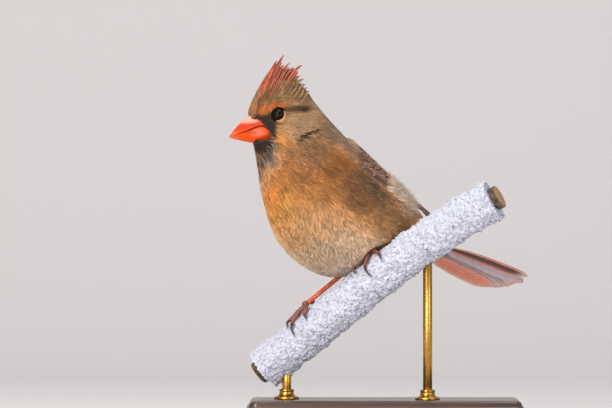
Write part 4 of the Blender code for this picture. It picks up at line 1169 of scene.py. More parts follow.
# The lower faces of the outermost left feather, the outermost right one and those between: the web on the
# bird's left, the web on its right, the edge on its right, and the tip.  The greyish pink of those between
# is partly their own colour and partly a painted sheen, and the outermost right one is painted lighter than
# its own colour, as painted light shining through the vane.
TAIL_UNDER_LEFT = ("#F0A084", "#4A281E", "#F0683E", "#FADCD0")
TAIL_UNDER_RIGHT = ("#FA8E6C", "#FF9A78", "#FFD8CC", "#FFBEAC")
TAIL_UNDER = ("#E6D0DA", "#E8D0D8", "#FAE4E4", "#FCC8B8")


def tail_frame():
    """The tail's root, its direction, its left and its upper side."""
    droop, roll = math.radians(TAIL_DROOP), math.radians(TAIL_ROLL)
    way = -math.cos(droop) * BODY_AHEAD - math.sin(droop) * UP
    over = np.cross(way, BODY_LEFT)
    over = over * (1.0 if over[2] > 0 else -1.0)
    left = math.cos(roll) * BODY_LEFT + math.sin(roll) * over
    over = math.cos(roll) * over - math.sin(roll) * BODY_LEFT
    return PIVOT + TAIL_ROOT[0] * BODY_AHEAD + TAIL_ROOT[1] * UP, way, left, over


def tail_vanes():
    root, way, left, over = tail_frame()
    bodies, colours, lengths = [], [], []
    shares = np.linspace(0, 1, VANE_STEPS + 6)
    outline = np.interp(shares, *zip(*FEATHER_OUTLINE))
    for side in (1, -1):
        for rank, (length, tip_aside, half) in enumerate(TAIL_FEATHERS[side]):
            root_aside = TAIL_ROOT_ASIDE + TAIL_ROOT_SPREAD * rank
            level = (TAIL_MIDDLE_LEVEL - rank) * TAIL_PITCH + side * TAIL_STEP
            start = TAIL_STARTS_AT + side * TAIL_STEP
            aside = side * (root_aside + (tip_aside - root_aside) * shares**TAIL_OPENING)
            middles = root + way * (start + (length - start) * shares)[:, None]
            middles = middles + left * aside[:, None] + over * level
            facing_up = np.repeat([over], len(shares), 0)
            bodies.append(vane_body(middles, facing_up, outline * half, shaft=-0.3 * side, arch=0.2))
            outermost = rank == len(TAIL_FEATHERS[side]) - 1
            lower = (TAIL_UNDER_LEFT if side > 0 else TAIL_UNDER_RIGHT) if outermost else TAIL_UNDER
            colours.append(vane_colours(TAIL_TOP, lower, -side, 1, len(shares)))
            lengths.append(length)
    dress(vanes_object("tail_vanes", bodies, colours, lengths), "tail", slot="flight_feathers")


tail_vanes()

# %% [markdown]
# ## The bill
# Two horny sheaths meet along the mouth, which runs straight from the tip and then steps down to the gape.
# Horn lets a little light in, so it glows at its edges, and it has a satin gloss from preening.  The bill
# is one tapering surface that is divided along the line of the mouth, as in the solids but far finer.

# %% The horn's finish
# The colour painted on the horn and the eyes; on the horn it includes painted shade and a painted
# reflection.
def tint_of(tree):
    return node(tree, "ShaderNodeAttribute", attribute_name="tint").outputs["Color"]


horn_material, horn_tree, horn_shader = shader_of(
    "keratin horn", Roughness=0.38, IOR=1.54, Subsurface_Weight=0.12, Subsurface_Scale=0.001
)
horn_shader.inputs["Specular IOR Level"].default_value = 0.15
horn_grain = node(horn_tree, "ShaderNodeMapping", {
    "Vector": node(horn_tree, "ShaderNodeTexCoord").outputs["Object"], "Scale": (0.16, 1.0, 1.0)})
horn_streaks = noise_of(horn_tree, 0.8, 3.0, horn_grain.outputs["Vector"])
horn_tone = spread_of(horn_tree, horn_streaks, 0.3, 0.7, 0.88, 1.1)
horn_tree.links.new(shaded(horn_tree, tint_of(horn_tree), horn_tone), horn_shader.inputs["Base Color"])
bump_of(horn_tree, horn_shader, horn_streaks, 0.25, 0.06)

# %% The two sheaths
# Upper edge (forward, up), lower edge (forward, up) and half width of slanting sections, from the tip.
BILL_SECTIONS = (
    (38.4, 7.2, 38.1, 6.5, 0.45),
    (37.0, 9.4, 36.0, 5.9, 2.0),
    (34.3, 12.6, 32.5, 5.1, 3.7),
    (31.0, 16.0, 28.8, 4.3, 5.2),
    (27.3, 18.9, 25.0, 3.6, 6.5),
    (22.8, 19.6, 20.5, 3.8, 7.4),
    (18.0, 18.4, 16.6, 4.4, 8.0),
    (13.8, 15.5, 13.4, 6.0, 7.4),
)
MOUTH_LINE = np.array([
    (10.0, 5.0), (17.6, 11.0), (20.2, 12.6), (22.4, 12.8), (25.7, 11.5), (28.2, 10.4), (32.4, 9.0),
    (38.0, 7.0), (42.0, 6.0),
])
BILL_RINGS, BILL_AROUND, MOUTH_GAP = 110, 61, 0.2
GROOVE_DEPTH, GROOVE_WIDTH, GROOVE_SHADE = 0.45, 0.4, 0.8
NOSTRIL, NOSTRIL_SIZE, NOSTRIL_DEPTH = (25.6, 17.0), (1.15, 0.5), 1.1
# Marks on the horn: stains of its own colour, painted shade along the mouth's line and a painted reflection
# along the culmen's top; colour, forward, up, half length, half height, strength.
UPPER_STAINS_AND_PAINTED_LIGHT = (
    ("#CC4410", 32.0, 12.0, 8.0, 3.6, 0.7),
    # Painted reflection: pale pink along the culmen stands in for the gloss's highlight.
    ("#F2A690", 30.6, 17.0, 8.6, 2.5, 0.9),
    # Painted shade along the mouth's line.
    ("#B42C00", 26.5, 12.2, 6.0, 1.8, 0.8),
    ("#DE7048", 36.6, 9.0, 2.2, 1.2, 0.6),
    ("#A84420", 21.0, 14.8, 2.4, 1.6, 0.7),
)
LOWER_STAINS_AND_PAINTED_SHADE = (
    ("#DC4C00", 29.0, 5.6, 10.0, 2.6, 0.9),
    ("#DC7058", 23.5, 9.2, 4.0, 1.9, 0.8),
    # Painted shade along the mouth's line.
    ("#B83404", 29.0, 9.4, 5.0, 0.9, 0.7),
    ("#E46C14", 35.5, 6.2, 3.0, 1.0, 0.6),
    ("#A84220", 17.0, 7.5, 1.4, 3.5, 0.6),
)


def bill_surface(places, turns):
    """Points of the bill at sections and angles from its upper edge."""
    rows = spline_rows(BILL_SECTIONS, places)
    upper = rows[:, 0:1] * HEAD_AHEAD + rows[:, 1:2] * UP
    lower = rows[:, 2:3] * HEAD_AHEAD + rows[:, 3:4] * UP
    rise = ((upper - lower) / 2)[:, None] * np.cos(turns)[..., None]
    aside = HEAD_LEFT * (rows[:, 4:5] * np.sin(turns))[..., None]
    return PIVOT + ((upper + lower) / 2)[:, None] + rise + aside


def mouth_turns(places):
    """The angle at which each section of the bill meets the line of the mouth."""
    share = np.linspace(0, 1, 2000)
    rows = spline_rows(BILL_SECTIONS, places)
    x = rows[:, 0:1] * (1 - share) + rows[:, 2:3] * share
    z = rows[:, 1:2] * (1 - share) + rows[:, 3:4] * share
    first = (z < np.interp(x, *MOUTH_LINE.T)).argmax(axis=1) / (len(share) - 1)
    return np.arccos(np.clip(1 - 2 * first, -0.97, 0.97))


def horn(name, node_name, stains_and_painted_light, base, upper):
    places = np.linspace(0, len(BILL_SECTIONS) - 1, BILL_RINGS)
    side = np.linspace(-1, 1, BILL_AROUND)
    cut = mouth_turns(places)[:, None]
    turns = side * cut if upper else np.pi + side * (np.pi - cut)
    outer = bill_surface(places, turns)
    shift = (0.5 if upper else -0.5) * MOUTH_GAP * np.abs(side) ** 8
    outer = outer + shift[None, :, None] * UP
    x, y, z = head_side_view(outer)
    groove = np.exp(-(((z - np.interp(x, *MOUTH_LINE.T)) / GROOVE_WIDTH) ** 2)) * np.clip(np.abs(y), 0, 1)
    outer = outer - (GROOVE_DEPTH * groove * np.sign(y))[..., None] * HEAD_LEFT
    if upper:
        away = np.hypot((x - NOSTRIL[0]) / NOSTRIL_SIZE[0], (z - NOSTRIL[1]) / NOSTRIL_SIZE[1])
        outer = outer - (NOSTRIL_DEPTH * np.exp(-(away**2)) * np.sign(y))[..., None] * HEAD_LEFT
    share = np.linspace(0, 1, 11)[1:-1, None]
    inner = outer[:, -1:] + (outer[:, :1] - outer[:, -1:]) * share
    rings = np.concatenate([outer, inner], axis=1)
    centre = rings[0].mean(axis=0)
    tip = [
        centre + (rings[0] - centre) * math.sin(turn) + HEAD_AHEAD * 0.4 * math.cos(turn)
        for turn in (0.15, 0.6, 1.1)
    ]
    rings = np.concatenate([tip, rings])
    made = loft(name, rings, horn_material)
    x, y, z = head_side_view(rings.reshape(-1, 3))
    colours = marked(np.broadcast_to(linear(base), (len(x), 3)).copy(), x, z, stains_and_painted_light)
    away = np.hypot((x - NOSTRIL[0]) / NOSTRIL_SIZE[0], (z - NOSTRIL[1]) / NOSTRIL_SIZE[1])
    # Painted shade in the nostril's recess.
    if upper:
        colours *= 1 - 0.85 * np.exp(-(away[:, None] ** 4) * 0.6)
    groove = np.exp(-(((z - np.interp(x, *MOUTH_LINE.T)) / GROOVE_WIDTH) ** 2))
    colours *= 1 - (GROOVE_SHADE * groove * np.interp(x, (25.0, 35.0), (1.0, 0.25)))[:, None]
    paint(made, "tint", colours)
    dress(made, node_name, slot="bill_horn")


horn("horn_upper", "bill_upper", UPPER_STAINS_AND_PAINTED_LIGHT, "#C03600", upper=True)
horn("horn_lower", "bill_lower", LOWER_STAINS_AND_PAINTED_SHADE, "#D44600", upper=False)

# %% [markdown]
# ## The eyes
# A glossy ball, almost black, with a dark brown iris that only shows close to.  The clear cornea bulges a
# little in front, which is what keeps the highlight small and sharp.  Bare lids, black and finely beaded,
# ring each eye and make it look larger.

# %% Eyeballs
eye_material, eye_tree, eye_shader = shader_of("wet cornea over a dark iris", Roughness=0.03, IOR=1.38)
eye_shader.inputs["Specular IOR Level"].default_value = 0.25
eye_tree.links.new(tint_of(eye_tree), eye_shader.inputs["Base Color"])
CORNEA_BULGE, PUPIL_DEGREES, IRIS_DEGREES = 0.3, 26, 52


def eyeball(name, node_name, side):
    out = side * HEAD_LEFT
    fall = np.radians(np.concatenate([[0.5, 3], np.linspace(6, 150, 46), [170, 179]]))
    turn = np.linspace(0, 2 * np.pi, 64, endpoint=False)
    radius = EYE_RADIUS + CORNEA_BULGE * np.exp(-((np.degrees(fall) / 38) ** 4))
    spread = (radius * np.sin(fall))[:, None, None]
    flat = np.cos(turn)[:, None] * HEAD_AHEAD + np.sin(turn)[:, None] * UP
    centre = head_point(EYE_PLACE[0], side * EYE_OUT, EYE_PLACE[1])
    rings = centre + (radius * np.cos(fall))[:, None, None] * out + spread * flat
    made = loft(name, rings, eye_material)
    share = np.degrees(fall)[:, None]
    hue = np.where(share < PUPIL_DEGREES, linear("#050404"), linear("#1E110B"))
    hue = np.where(share > IRIS_DEGREES, linear("#0C0908"), hue)
    paint(made, "tint", np.repeat(hue, len(turn), axis=0))
    dress(made, node_name, slot="eye")


eyeball("eyeball_left", "eye_left", 1)
eyeball("eyeball_right", "eye_right", -1)

# %% Lids
LID_RADIUS, LID_OUT, LID_THICKNESS = 3.9, 1.4, 0.58


def tube_rings(line, radii, around, start, joined=False):
    """Rings round a line of points, each starting from one direction."""
    way = np.gradient(line, axis=0)
    if joined:
        way = np.roll(line, -1, axis=0) - np.roll(line, 1, axis=0)
    way /= np.linalg.norm(way, axis=1, keepdims=True)
    over = start - way * (way @ start)[:, None]
    over = over / np.linalg.norm(over, axis=1, keepdims=True)
    aside = np.cross(way, over)
    turn = np.linspace(0, 2 * np.pi, around, endpoint=False)[None, :, None]
    radii = np.reshape(radii, (len(line), -1, 1))
    return line[:, None] + radii * (np.cos(turn) * over[:, None] + np.sin(turn) * aside[:, None])


lid_material, lid_tree, lid_shader = shader_of("bare skin of the lids", Roughness=0.8)
lid_shader.inputs["Specular IOR Level"].default_value = 0.1
lid_hue = blotches(lid_tree, noise_of(lid_tree, 0.5), 0.35, 0.65, "#080606", "#1A1412")
lid_tree.links.new(lid_hue, lid_shader.inputs["Base Color"])
bump_of(lid_tree, lid_shader, noise_of(lid_tree, 0.35), 0.5, 0.1)


def lids(name, side):
    turn = np.linspace(0, 2 * np.pi, 72, endpoint=False)
    reach = LID_RADIUS * (1 - 0.05 * np.abs(np.sin(turn)))
    out = side * HEAD_LEFT
    centre = head_point(EYE_PLACE[0], side * (EYE_OUT + LID_OUT), EYE_PLACE[1])
    line = centre + reach[:, None] * (np.cos(turn)[:, None] * HEAD_AHEAD + np.sin(turn)[:, None] * UP)
    radii = LID_THICKNESS * (1 + 0.15 * np.maximum(np.sin(turn), 0)) * (1 + 0.1 * np.sin(24 * turn))
    rings = tube_rings(line, radii, 14, out, joined=True)
    dress(loft(name, rings, lid_material, joined=True), slot="plumage")


lids("lids_left", 1)
lids("lids_right", -1)

# %% [markdown]
# ## Legs and feet
# Bare legs are covered in horny scutes that overlap like tiles down the front, and the toes carry smaller
# ones.  Each toe is a tube along its own path on the crust, ridged where its scutes end, with a long, dark
# claw that curves round the perch.

# %% The skin of the feet
leg_material, leg_tree, leg_shader = shader_of(
    "horny scutes", Roughness=0.45, IOR=1.5, Subsurface_Weight=0.05
)
leg_patches = blotches(leg_tree, noise_of(leg_tree, 1.4), 0.35, 0.65, "#5C2E26", "#7C4036")
leg_flecks = spread_of(leg_tree, noise_of(leg_tree, 0.35), 0.45, 0.75)
leg_fine = mixed(leg_tree, leg_flecks, leg_patches, rgba("#9A6252"))
leg_tree.links.new(leg_fine, leg_shader.inputs["Base Color"])
bump_of(leg_tree, leg_shader, noise_of(leg_tree, 0.4), 0.4, 0.1)

shank_material, shank_tree, shank_shader = shader_of("scutes of the shank", Roughness=0.42, IOR=1.5)
shank_mix = blotches(shank_tree, noise_of(shank_tree, 1.2), 0.35, 0.65, "#B8432A", "#DA7452")
shank_tree.links.new(shank_mix, shank_shader.inputs["Base Color"])
bump_of(shank_tree, shank_shader, noise_of(shank_tree, 0.4), 0.3, 0.1)

claw_material, claw_tree, claw_shader = shader_of("claw horn", Roughness=0.3, IOR=1.54, Coat_Weight=0.2)
claw_mix = blotches(claw_tree, noise_of(claw_tree, 0.9), 0.3, 0.7, "#2A1613", "#55302A")
claw_tree.links.new(claw_mix, claw_shader.inputs["Base Color"])

# %% Toes and claws
TOE_RADIUS, TOE_TIP_RADIUS, CLAW_RADIUS = 1.25, 0.85, 0.72
SCUTE_LENGTH, TOE_SCUTE = 1.5, 0.13
# Each knuckle's place along its toe, its half length, and how much it widens the toe.
KNUCKLES = ((1.0, 0.16, 0.09), (1.95, 0.2, 0.1))
# Each toe's path from the foot to the claw's tip: millimetres along the branch, degrees round it.
TOES = {
    "right": (
        ((45, 18), (39, 20), (33.5, 25), (31.2, 33), (29.8, 44)),
        ((45, 22), (40, 26), (34.6, 42), (32, 64), (31.2, 82)),
        ((45.5, 24), (44.5, 38), (42.6, 48), (42, 56), (42.2, 64)),
        ((45.5, 8), (48, -32), (49.5, -62), (49.2, -80), (48.2, -98)),
    ),
    "left": (
        ((91, 8), (85.8, 18), (80.8, 28), (78.8, 38), (78, 50)),
        ((91, 10), (88.3, 28), (85.4, 48), (84.4, 70), (85.4, 88)),
        ((91.5, 10), (93.3, 26), (94.8, 44), (95, 56), (94.4, 68)),
        ((91, -4), (92.3, -40), (93.3, -66), (93, -84), (92, -100)),
    ),
}


def toe_line(spots, along, radii):
    rows = spline_rows(np.array(spots, float), along)
    bow = np.interp(along, (0, 2, 3, 4), (0.5, 0.0, 0.8, 0.0))
    return on_perch(rows[:, 0], rows[:, 1], SNOW_RADIUS + 0.3 + radii + bow)


def foot_centre(side):
    place, degrees = FOOT_PLACES[side]
    return on_perch(place, degrees, SNOW_RADIUS + 0.3 + FOOT_RADIUS)[0]


def join(name, pieces):
    """Joins mesh objects into one, in the first one's place."""
    work = bmesh.new()
    materials = []
    for piece in pieces:
        first = len(work.faces)
        work.from_mesh(piece.data)
        work.faces.ensure_lookup_table()
        material = piece.data.materials[0]
        if material not in materials:
            materials.append(material)
        for face in work.faces[first:]:
            face.material_index = materials.index(material)
    mesh = bpy.data.meshes.new(name)
    work.to_mesh(mesh)
    work.free()
    for material in materials:
        mesh.materials.append(material)
    for piece in pieces:
        bpy.data.objects.remove(piece)
    made = bpy.data.objects.new(name, mesh)
    COLLECTION.objects.link(made)
    return made


def foot(side):
    toes, claws = [], []
    for spots in TOES[side]:
        along = np.linspace(0, 2.35, 64)
        radii = np.interp(along, (0, 2, 2.35), (TOE_RADIUS, TOE_TIP_RADIUS, 0.72))
        swell = sum(size * np.exp(-(((along - place) / reach) ** 2)) for place, reach, size in KNUCKLES)
        radii = radii * (1 + swell)
        line = toe_line(spots, along, radii)
        length = np.concatenate([[0], np.cumsum(np.linalg.norm(np.diff(line, axis=0), axis=1))])
        turn = np.linspace(0, 2 * np.pi, 20, endpoint=False)
        scute = TOE_SCUTE * (1 - (length / SCUTE_LENGTH) % 1.0)[:, None] * np.clip(np.cos(turn), 0, 1) ** 0.5
        toes.append(loft("toe", tube_rings(line, radii[:, None] + scute, 20, UP), leg_material))
        along = np.linspace(2.1, 4.0, 30)
        radii = CLAW_RADIUS * (1 - ((along - 2.1) / 1.9) ** 1.6) + 0.1
        line = toe_line(spots, along, np.maximum(radii, 0.3))
        claws.append(loft("claw", tube_rings(line, radii, 12, UP), claw_material))
    centre = foot_centre(side)
    fall, turn = np.radians(np.linspace(4, 176, 16)), np.linspace(0, 2 * np.pi, 22, endpoint=False)
    flat = np.cos(turn)[:, None] * HEAD_AHEAD + np.sin(turn)[:, None] * HEAD_LEFT
    ball = centre + FOOT_RADIUS * (np.cos(fall)[:, None, None] * UP + np.sin(fall)[:, None, None] * flat)
    toes.append(loft("ball", ball, leg_material))
    dress(join(f"toes_{side}", toes), f"foot_{side}", slot="leg_scales")
    dress(join(f"claws_{side}", claws), slot="leg_scales")


foot("left")
foot("right")

# %% [markdown]
# ## Node trees for what repeats
# The shanks' scutes, the bark, the frozen crust and its grains all repeat or follow a path, so a node tree
# makes each.  Two helpers start and end a tree, and a third runs it on a carrier and keeps a plain mesh.

# %% Starting, ending and running a tree
def geometry_tree(name, **sizes):
    """A tree with one named input for each size, and the sockets of its group input."""
    tree = bpy.data.node_groups.new(name, "GeometryNodeTree")
    for way in ("INPUT", "OUTPUT"):
        tree.interface.new_socket("Geometry", in_out=way, socket_type="NodeSocketGeometry")
    for key, value in sizes.items():
        kind = "NodeSocketInt" if isinstance(value, int) else "NodeSocketFloat"
        tree.interface.new_socket(key, in_out="INPUT", socket_type=kind).default_value = value
    return tree, node(tree, "NodeGroupInput").outputs


def reckon(tree, operation, *values):
    """A Math node's result."""
    return node(tree, "ShaderNodeMath", dict(enumerate(values)), operation=operation).outputs[0]


def tube_of(tree, given, around, **inputs):
    """A capped tube along the carrier's line, resampled to the given number of rings."""
    line_inputs = {"Curve": given["Geometry"], "Count": given["Rings"]}
    line = node(tree, "GeometryNodeResampleCurve", line_inputs).outputs[0]
    ring_inputs = {"Resolution": around, "Radius": given["Radius"]}
    ring = node(tree, "GeometryNodeCurvePrimitiveCircle", ring_inputs).outputs[0]
    tube_inputs = {"Curve": line, "Profile Curve": ring, "Fill Caps": True, **inputs}
    return node(tree, "GeometryNodeCurveToMesh", tube_inputs).outputs[0]


def end_tree(tree, geometry, material):
    real = node(tree, "GeometryNodeRealizeInstances", {"Geometry": geometry}).outputs[0]
    smooth = node(tree, "GeometryNodeSetShadeSmooth", {"Geometry": real}).outputs[0]
    done = node(tree, "GeometryNodeSetMaterial", {"Geometry": smooth, "Material": material}).outputs[0]
    node(tree, "NodeGroupOutput", {"Geometry": done})


def grown(name, carrier, tree, **sizes):
    """Runs a tree with these sizes and keeps the result as a plain mesh."""
    modifier = carrier.modifiers.new(tree.name, "NODES")
    modifier.node_group = tree
    for item in tree.interface.items_tree:
        if item.in_out == "INPUT" and item.name in sizes:
            modifier[item.identifier] = sizes[item.name]
    graph = bpy.context.evaluated_depsgraph_get()
    made = bpy.data.objects.new(name, bpy.data.meshes.new_from_object(carrier.evaluated_get(graph)))
    COLLECTION.objects.link(made)
    carrier.modifiers.remove(modifier)
    return made


def carrier_curve(line):
    """A plain curve through points in millimetres, for a tree to follow."""
    curve = bpy.data.curves.new("carrier", "CURVE")
    curve.dimensions = "3D"
    spline = curve.splines.new("POLY")
    spline.points.add(len(line) - 1)
    for spot, point in zip(spline.points, line):
        spot.co = (*(point * MM), 1.0)
    carrier = bpy.data.objects.new("carrier", curve)
    COLLECTION.objects.link(carrier)
    return carrier


# %% [markdown]
# ## Shanks
# The bare shank is wrapped in scutes that overlap downwards.  One tube follows the leg, and its width
# steps in a saw-tooth along its length, once for each scute.

# %% A tree for scutes
SHANK_SIDES = 26


def scute_tree():
    tree, given = geometry_tree("scutes", Radius=0.0011, Scute=0.0019, Step=0.14, Rings=150)
    length = node(tree, "GeometryNodeSplineParameter").outputs["Length"]
    saw = reckon(tree, "FRACT", reckon(tree, "DIVIDE", length, given["Scute"]))
    width = reckon(tree, "ADD", 1.0, reckon(tree, "MULTIPLY", saw, given["Step"]))
    end_tree(tree, tube_of(tree, given, SHANK_SIDES, Scale=width), shank_material)
    return tree


ANKLES = {"right": (21.5, 22.0, -68.5), "left": (44.0, 14.0, -40.0)}
SCUTES = scute_tree()
for side in ("left", "right"):
    foot_end, ankle = foot_centre(side), PIVOT + np.array(ANKLES[side])
    along = (ankle - foot_end) / np.linalg.norm(ankle - foot_end)
    carrier = carrier_curve([foot_end + along * 0.8, (foot_end + ankle) / 2, ankle + along * 1.5])
    shank = face_outwards(grown(f"shank_{side}", carrier, SCUTES, Radius=0.00118))
    bpy.data.objects.remove(carrier)
    dress(shank, f"leg_{side}", slot="leg_scales")

# %% [markdown]
# ## The perch
# A cut length of branch as thick as a finger, almost hidden by frozen snow.  Bark shows only at the two
# ends, round a pale cut face with growth rings.

# %% Bark and cut wood
bark_material, bark_tree, bark_shader = shader_of("weathered bark", Roughness=0.9)
bark_noise = noise_of(bark_tree, 2.2, 4.0)
bark_tree.links.new(
    blotches(bark_tree, bark_noise, 0.35, 0.65, "#2E241D", "#6A584A"), bark_shader.inputs["Base Color"]
)
bump_of(bark_tree, bark_shader, bark_noise, 0.8, 0.5)

wood_material, wood_tree, wood_shader = shader_of("sawn end grain", Roughness=0.75)
RING_SPACING_MM = 0.85
wood_reach = node(wood_tree, "ShaderNodeAttribute", attribute_name="reach").outputs["Fac"]
wood_wander = reckon(wood_tree, "MULTIPLY", noise_of(wood_tree, 2.5), 1.2)
wood_place = reckon(wood_tree, "ADD", wood_reach, wood_wander)
wood_turns = reckon(wood_tree, "MULTIPLY", wood_place, 2 * math.pi / RING_SPACING_MM)
wood_wave = reckon(wood_tree, "SINE", wood_turns)
wood_tree.links.new(
    blotches(wood_tree, wood_wave, -1.0, 1.0, "#B08B62", "#8A6440"), wood_shader.inputs["Base Color"]
)
bump_of(wood_tree, wood_shader, wood_wave, 0.3, 0.1)

# %% A tree for rough tubes
def rough_tube_tree(name, material):
    """A tube along a curve, pushed in and out by broad lumps, small lumps and grit."""
    sizes = {"Radius": 0.01, "Lump": 0.007, "Lump height": 0.001, "Knob": 0.002, "Knob height": 0.0005,
             "Grit": 0.0008, "Grit height": 0.0002, "Rings": 300, "Around": 60}
    tree, given = geometry_tree(name, **sizes)
    tube = tube_of(tree, given, given["Around"])
    total = None
    for size, height in (("Lump", "Lump height"), ("Knob", "Knob height"), ("Grit", "Grit height")):
        scale = reckon(tree, "DIVIDE", 1.0, given[size])
        noise = node(tree, "ShaderNodeTexNoise", {"Scale": scale, "Detail": 1.0}).outputs["Fac"]
        swing = reckon(tree, "MULTIPLY", given[height], 2.0)
        push = reckon(tree, "MULTIPLY", reckon(tree, "SUBTRACT", noise, 0.5), swing)
        total = push if total is None else reckon(tree, "ADD", total, push)
    normal = node(tree, "GeometryNodeInputNormal").outputs["Normal"]
    offset = node(tree, "ShaderNodeVectorMath", {0: normal, "Scale": total}, operation="SCALE").outputs[0]
    moved = node(tree, "GeometryNodeSetPosition", {"Geometry": tube, "Offset": offset}).outputs[0]
    end_tree(tree, moved, material)
    return tree


branch_carrier = carrier_curve(branch_points(np.linspace(0.3, BRANCH_LENGTH - 0.3, 90))[0])
bark_sizes = {"Radius": BRANCH_RADIUS * MM, "Lump": 0.006, "Lump height": 0.0004, "Knob": 0.0016,
              "Knob height": 0.0005, "Grit": 0.0006, "Grit height": 0.0001, "Rings": 220, "Around": 60}
bark_tubes = rough_tube_tree("rough bark", bark_material)
branch = face_outwards(grown("bark", branch_carrier, bark_tubes, **bark_sizes))
bpy.data.objects.remove(branch_carrier)
dress(branch, "perch_branch", slot="bark")

cut_pieces, cut_reach = [], []
for place, out in ((0.3, -1.0), (BRANCH_LENGTH - 0.3, 1.0)):
    centre, way, rise, near = (part[0] for part in branch_frame(place))
    reach = BRANCH_RADIUS * 0.93 * np.linspace(0.02, 1, 16)
    turn = np.linspace(0, 2 * np.pi, 64, endpoint=False)
    flat = np.cos(turn)[:, None] * rise + np.sin(turn)[:, None] * near
    face = centre + out * 0.3 * way + reach[:, None, None] * flat
    back = centre - out * 0.8 * way + reach[::-1, None, None] * flat
    cut_pieces.append(loft("cut", np.concatenate([face, back]), wood_material))
    cut_reach.append(np.repeat(np.concatenate([reach, reach[::-1]]), len(turn)))
cut_ends = join("cut_ends", cut_pieces)
cut_values = cut_ends.data.attributes.new("reach", "FLOAT", "POINT")
cut_values.data.foreach_set("value", np.concatenate(cut_reach).astype(np.float32))
dress(cut_ends, slot="bark")

# %% [markdown]
# ## Frozen snow
# The crust is granular ice: white where light passes through the grains, grey-lilac in the pits between
# them, with a ragged outline.  The same rough tube makes it with larger lumps.  The material paints the pits
# a darker grey-lilac as painted shade, from noise of the same sizes on the same coordinates, so its painted
# shade lies in the mesh's own pits.  Loose grains lie over it.

# %% The crust's material
SNOW_LUMP_MM, SNOW_KNOB_MM, SNOW_GRIT_MM = 6.0, 2.0, 0.9
snow_material, snow_tree, snow_shader = shader_of(
    "frozen snow", Roughness=0.6, IOR=1.31, Subsurface_Weight=0.3, Subsurface_Scale=0.001
)
snow_shader.inputs["Subsurface Radius"].default_value = (1.0, 1.0, 1.0)
# Painted shade: the pits are painted a darker grey-lilac.
snow_pit_shade = spread_of(snow_tree, noise_of(snow_tree, SNOW_KNOB_MM, 1.0), 0.36, 0.56)
snow_grit = spread_of(snow_tree, noise_of(snow_tree, SNOW_GRIT_MM, 1.0), 0.34, 0.6)
snow_with_pit_shade = mixed(snow_tree, snow_pit_shade, rgba("#7E8093"), rgba("#B6B9C8"))
snow_hue = mixed(snow_tree, snow_grit, snow_with_pit_shade, rgba("#C6CAD8"))
snow_tree.links.new(snow_hue, snow_shader.inputs["Base Color"])
bump_of(snow_tree, snow_shader, noise_of(snow_tree, 0.5, 2.0), 0.5, 0.25)

# %% The crust and its grains
snow_places = np.linspace(SNOW_SET_BACK, BRANCH_LENGTH - SNOW_SET_BACK, 160)
snow_carrier = carrier_curve(branch_points(snow_places)[0])
snow_sizes = {"Radius": (SNOW_RADIUS - 0.5) * MM, "Rings": 520, "Around": 130,
              "Lump": SNOW_LUMP_MM * MM, "Lump height": 0.0016,
              "Knob": SNOW_KNOB_MM * MM, "Knob height": 0.0016,
              "Grit": SNOW_GRIT_MM * MM, "Grit height": 0.0007}
snow_tubes = rough_tube_tree("rough crust", snow_material)
crust = face_outwards(grown("snow_crust", snow_carrier, snow_tubes, **snow_sizes))
bpy.data.objects.remove(snow_carrier)
dress(crust, "perch_snow", slot="frozen_snow")


def grain_tree(material):
    tree, given = geometry_tree(
        "loose grains", Density=330000.0, Radius=0.0004, Smallest=0.5, Largest=1.5, Seed=4
    )
    inputs = {"Mesh": given["Geometry"], "Density": given["Density"], "Seed": given["Seed"]}
    spots = node(tree, "GeometryNodeDistributePointsOnFaces", inputs).outputs["Points"]
    grain_inputs = {"Radius": given["Radius"], "Subdivisions": 1}
    grain = node(tree, "GeometryNodeMeshIcoSphere", grain_inputs).outputs[0]
    size_inputs = {"Min_001": given["Smallest"], "Max_001": given["Largest"], "Seed": given["Seed"]}
    size = node(tree, "FunctionNodeRandomValue", {}, data_type="FLOAT")
    for socket in size.inputs:
        if socket.identifier in size_inputs:
            tree.links.new(size_inputs[socket.identifier], socket)
    scale = next(socket for socket in size.outputs if socket.identifier == "Value_001")
    placed = node(tree, "GeometryNodeInstanceOnPoints", {"Points": spots, "Instance": grain, "Scale": scale})
    end_tree(tree, placed.outputs[0], material)
    return tree


grains = grown("snow_grains", crust, grain_tree(snow_material))
dress(grains, slot="frozen_snow")

# %% [markdown]
# ## The stand
# A plain museum stand: a lacquered dark wooden base with a moulded edge, and two brass rods with turned
# collars.  It holds the perch at the height that the hanging tail needs.

# %% Finishes of the stand
base_material, base_tree, base_shader = shader_of("lacquered walnut", Roughness=0.42, Coat_Weight=0.5)
base_shader.inputs["Coat Roughness"].default_value = 0.18
base_along = node(base_tree, "ShaderNodeMapping", {
    "Vector": node(base_tree, "ShaderNodeTexCoord").outputs["Object"], "Scale": (0.07, 1.0, 1.0)})
base_grain = noise_of(base_tree, 2.4, 5.0, base_along.outputs["Vector"], 0.6)
base_hue = blotches(base_tree, base_grain, 0.35, 0.65, "#24150E", "#4A2E1E")
base_tree.links.new(base_hue, base_shader.inputs["Base Color"])
bump_of(base_tree, base_shader, base_grain, 0.15, 0.05)

brass_material, brass_tree, brass_shader = shader_of("turned brass", Metallic=1.0)
brass_rub = noise_of(brass_tree, 1.5, 3.0)
brass_tree.links.new(
    blotches(brass_tree, brass_rub, 0.3, 0.7, "#C79A4B", "#A87E38"), brass_shader.inputs["Base Color"]
)
brass_polish = spread_of(brass_tree, brass_rub, 0.3, 0.7, 0.22, 0.34)
brass_tree.links.new(brass_polish, brass_shader.inputs["Roughness"])

# %% Base and rods
BASE_SIZE, BASE_CORNER = (150.0, 110.0, 10.0), 6.0
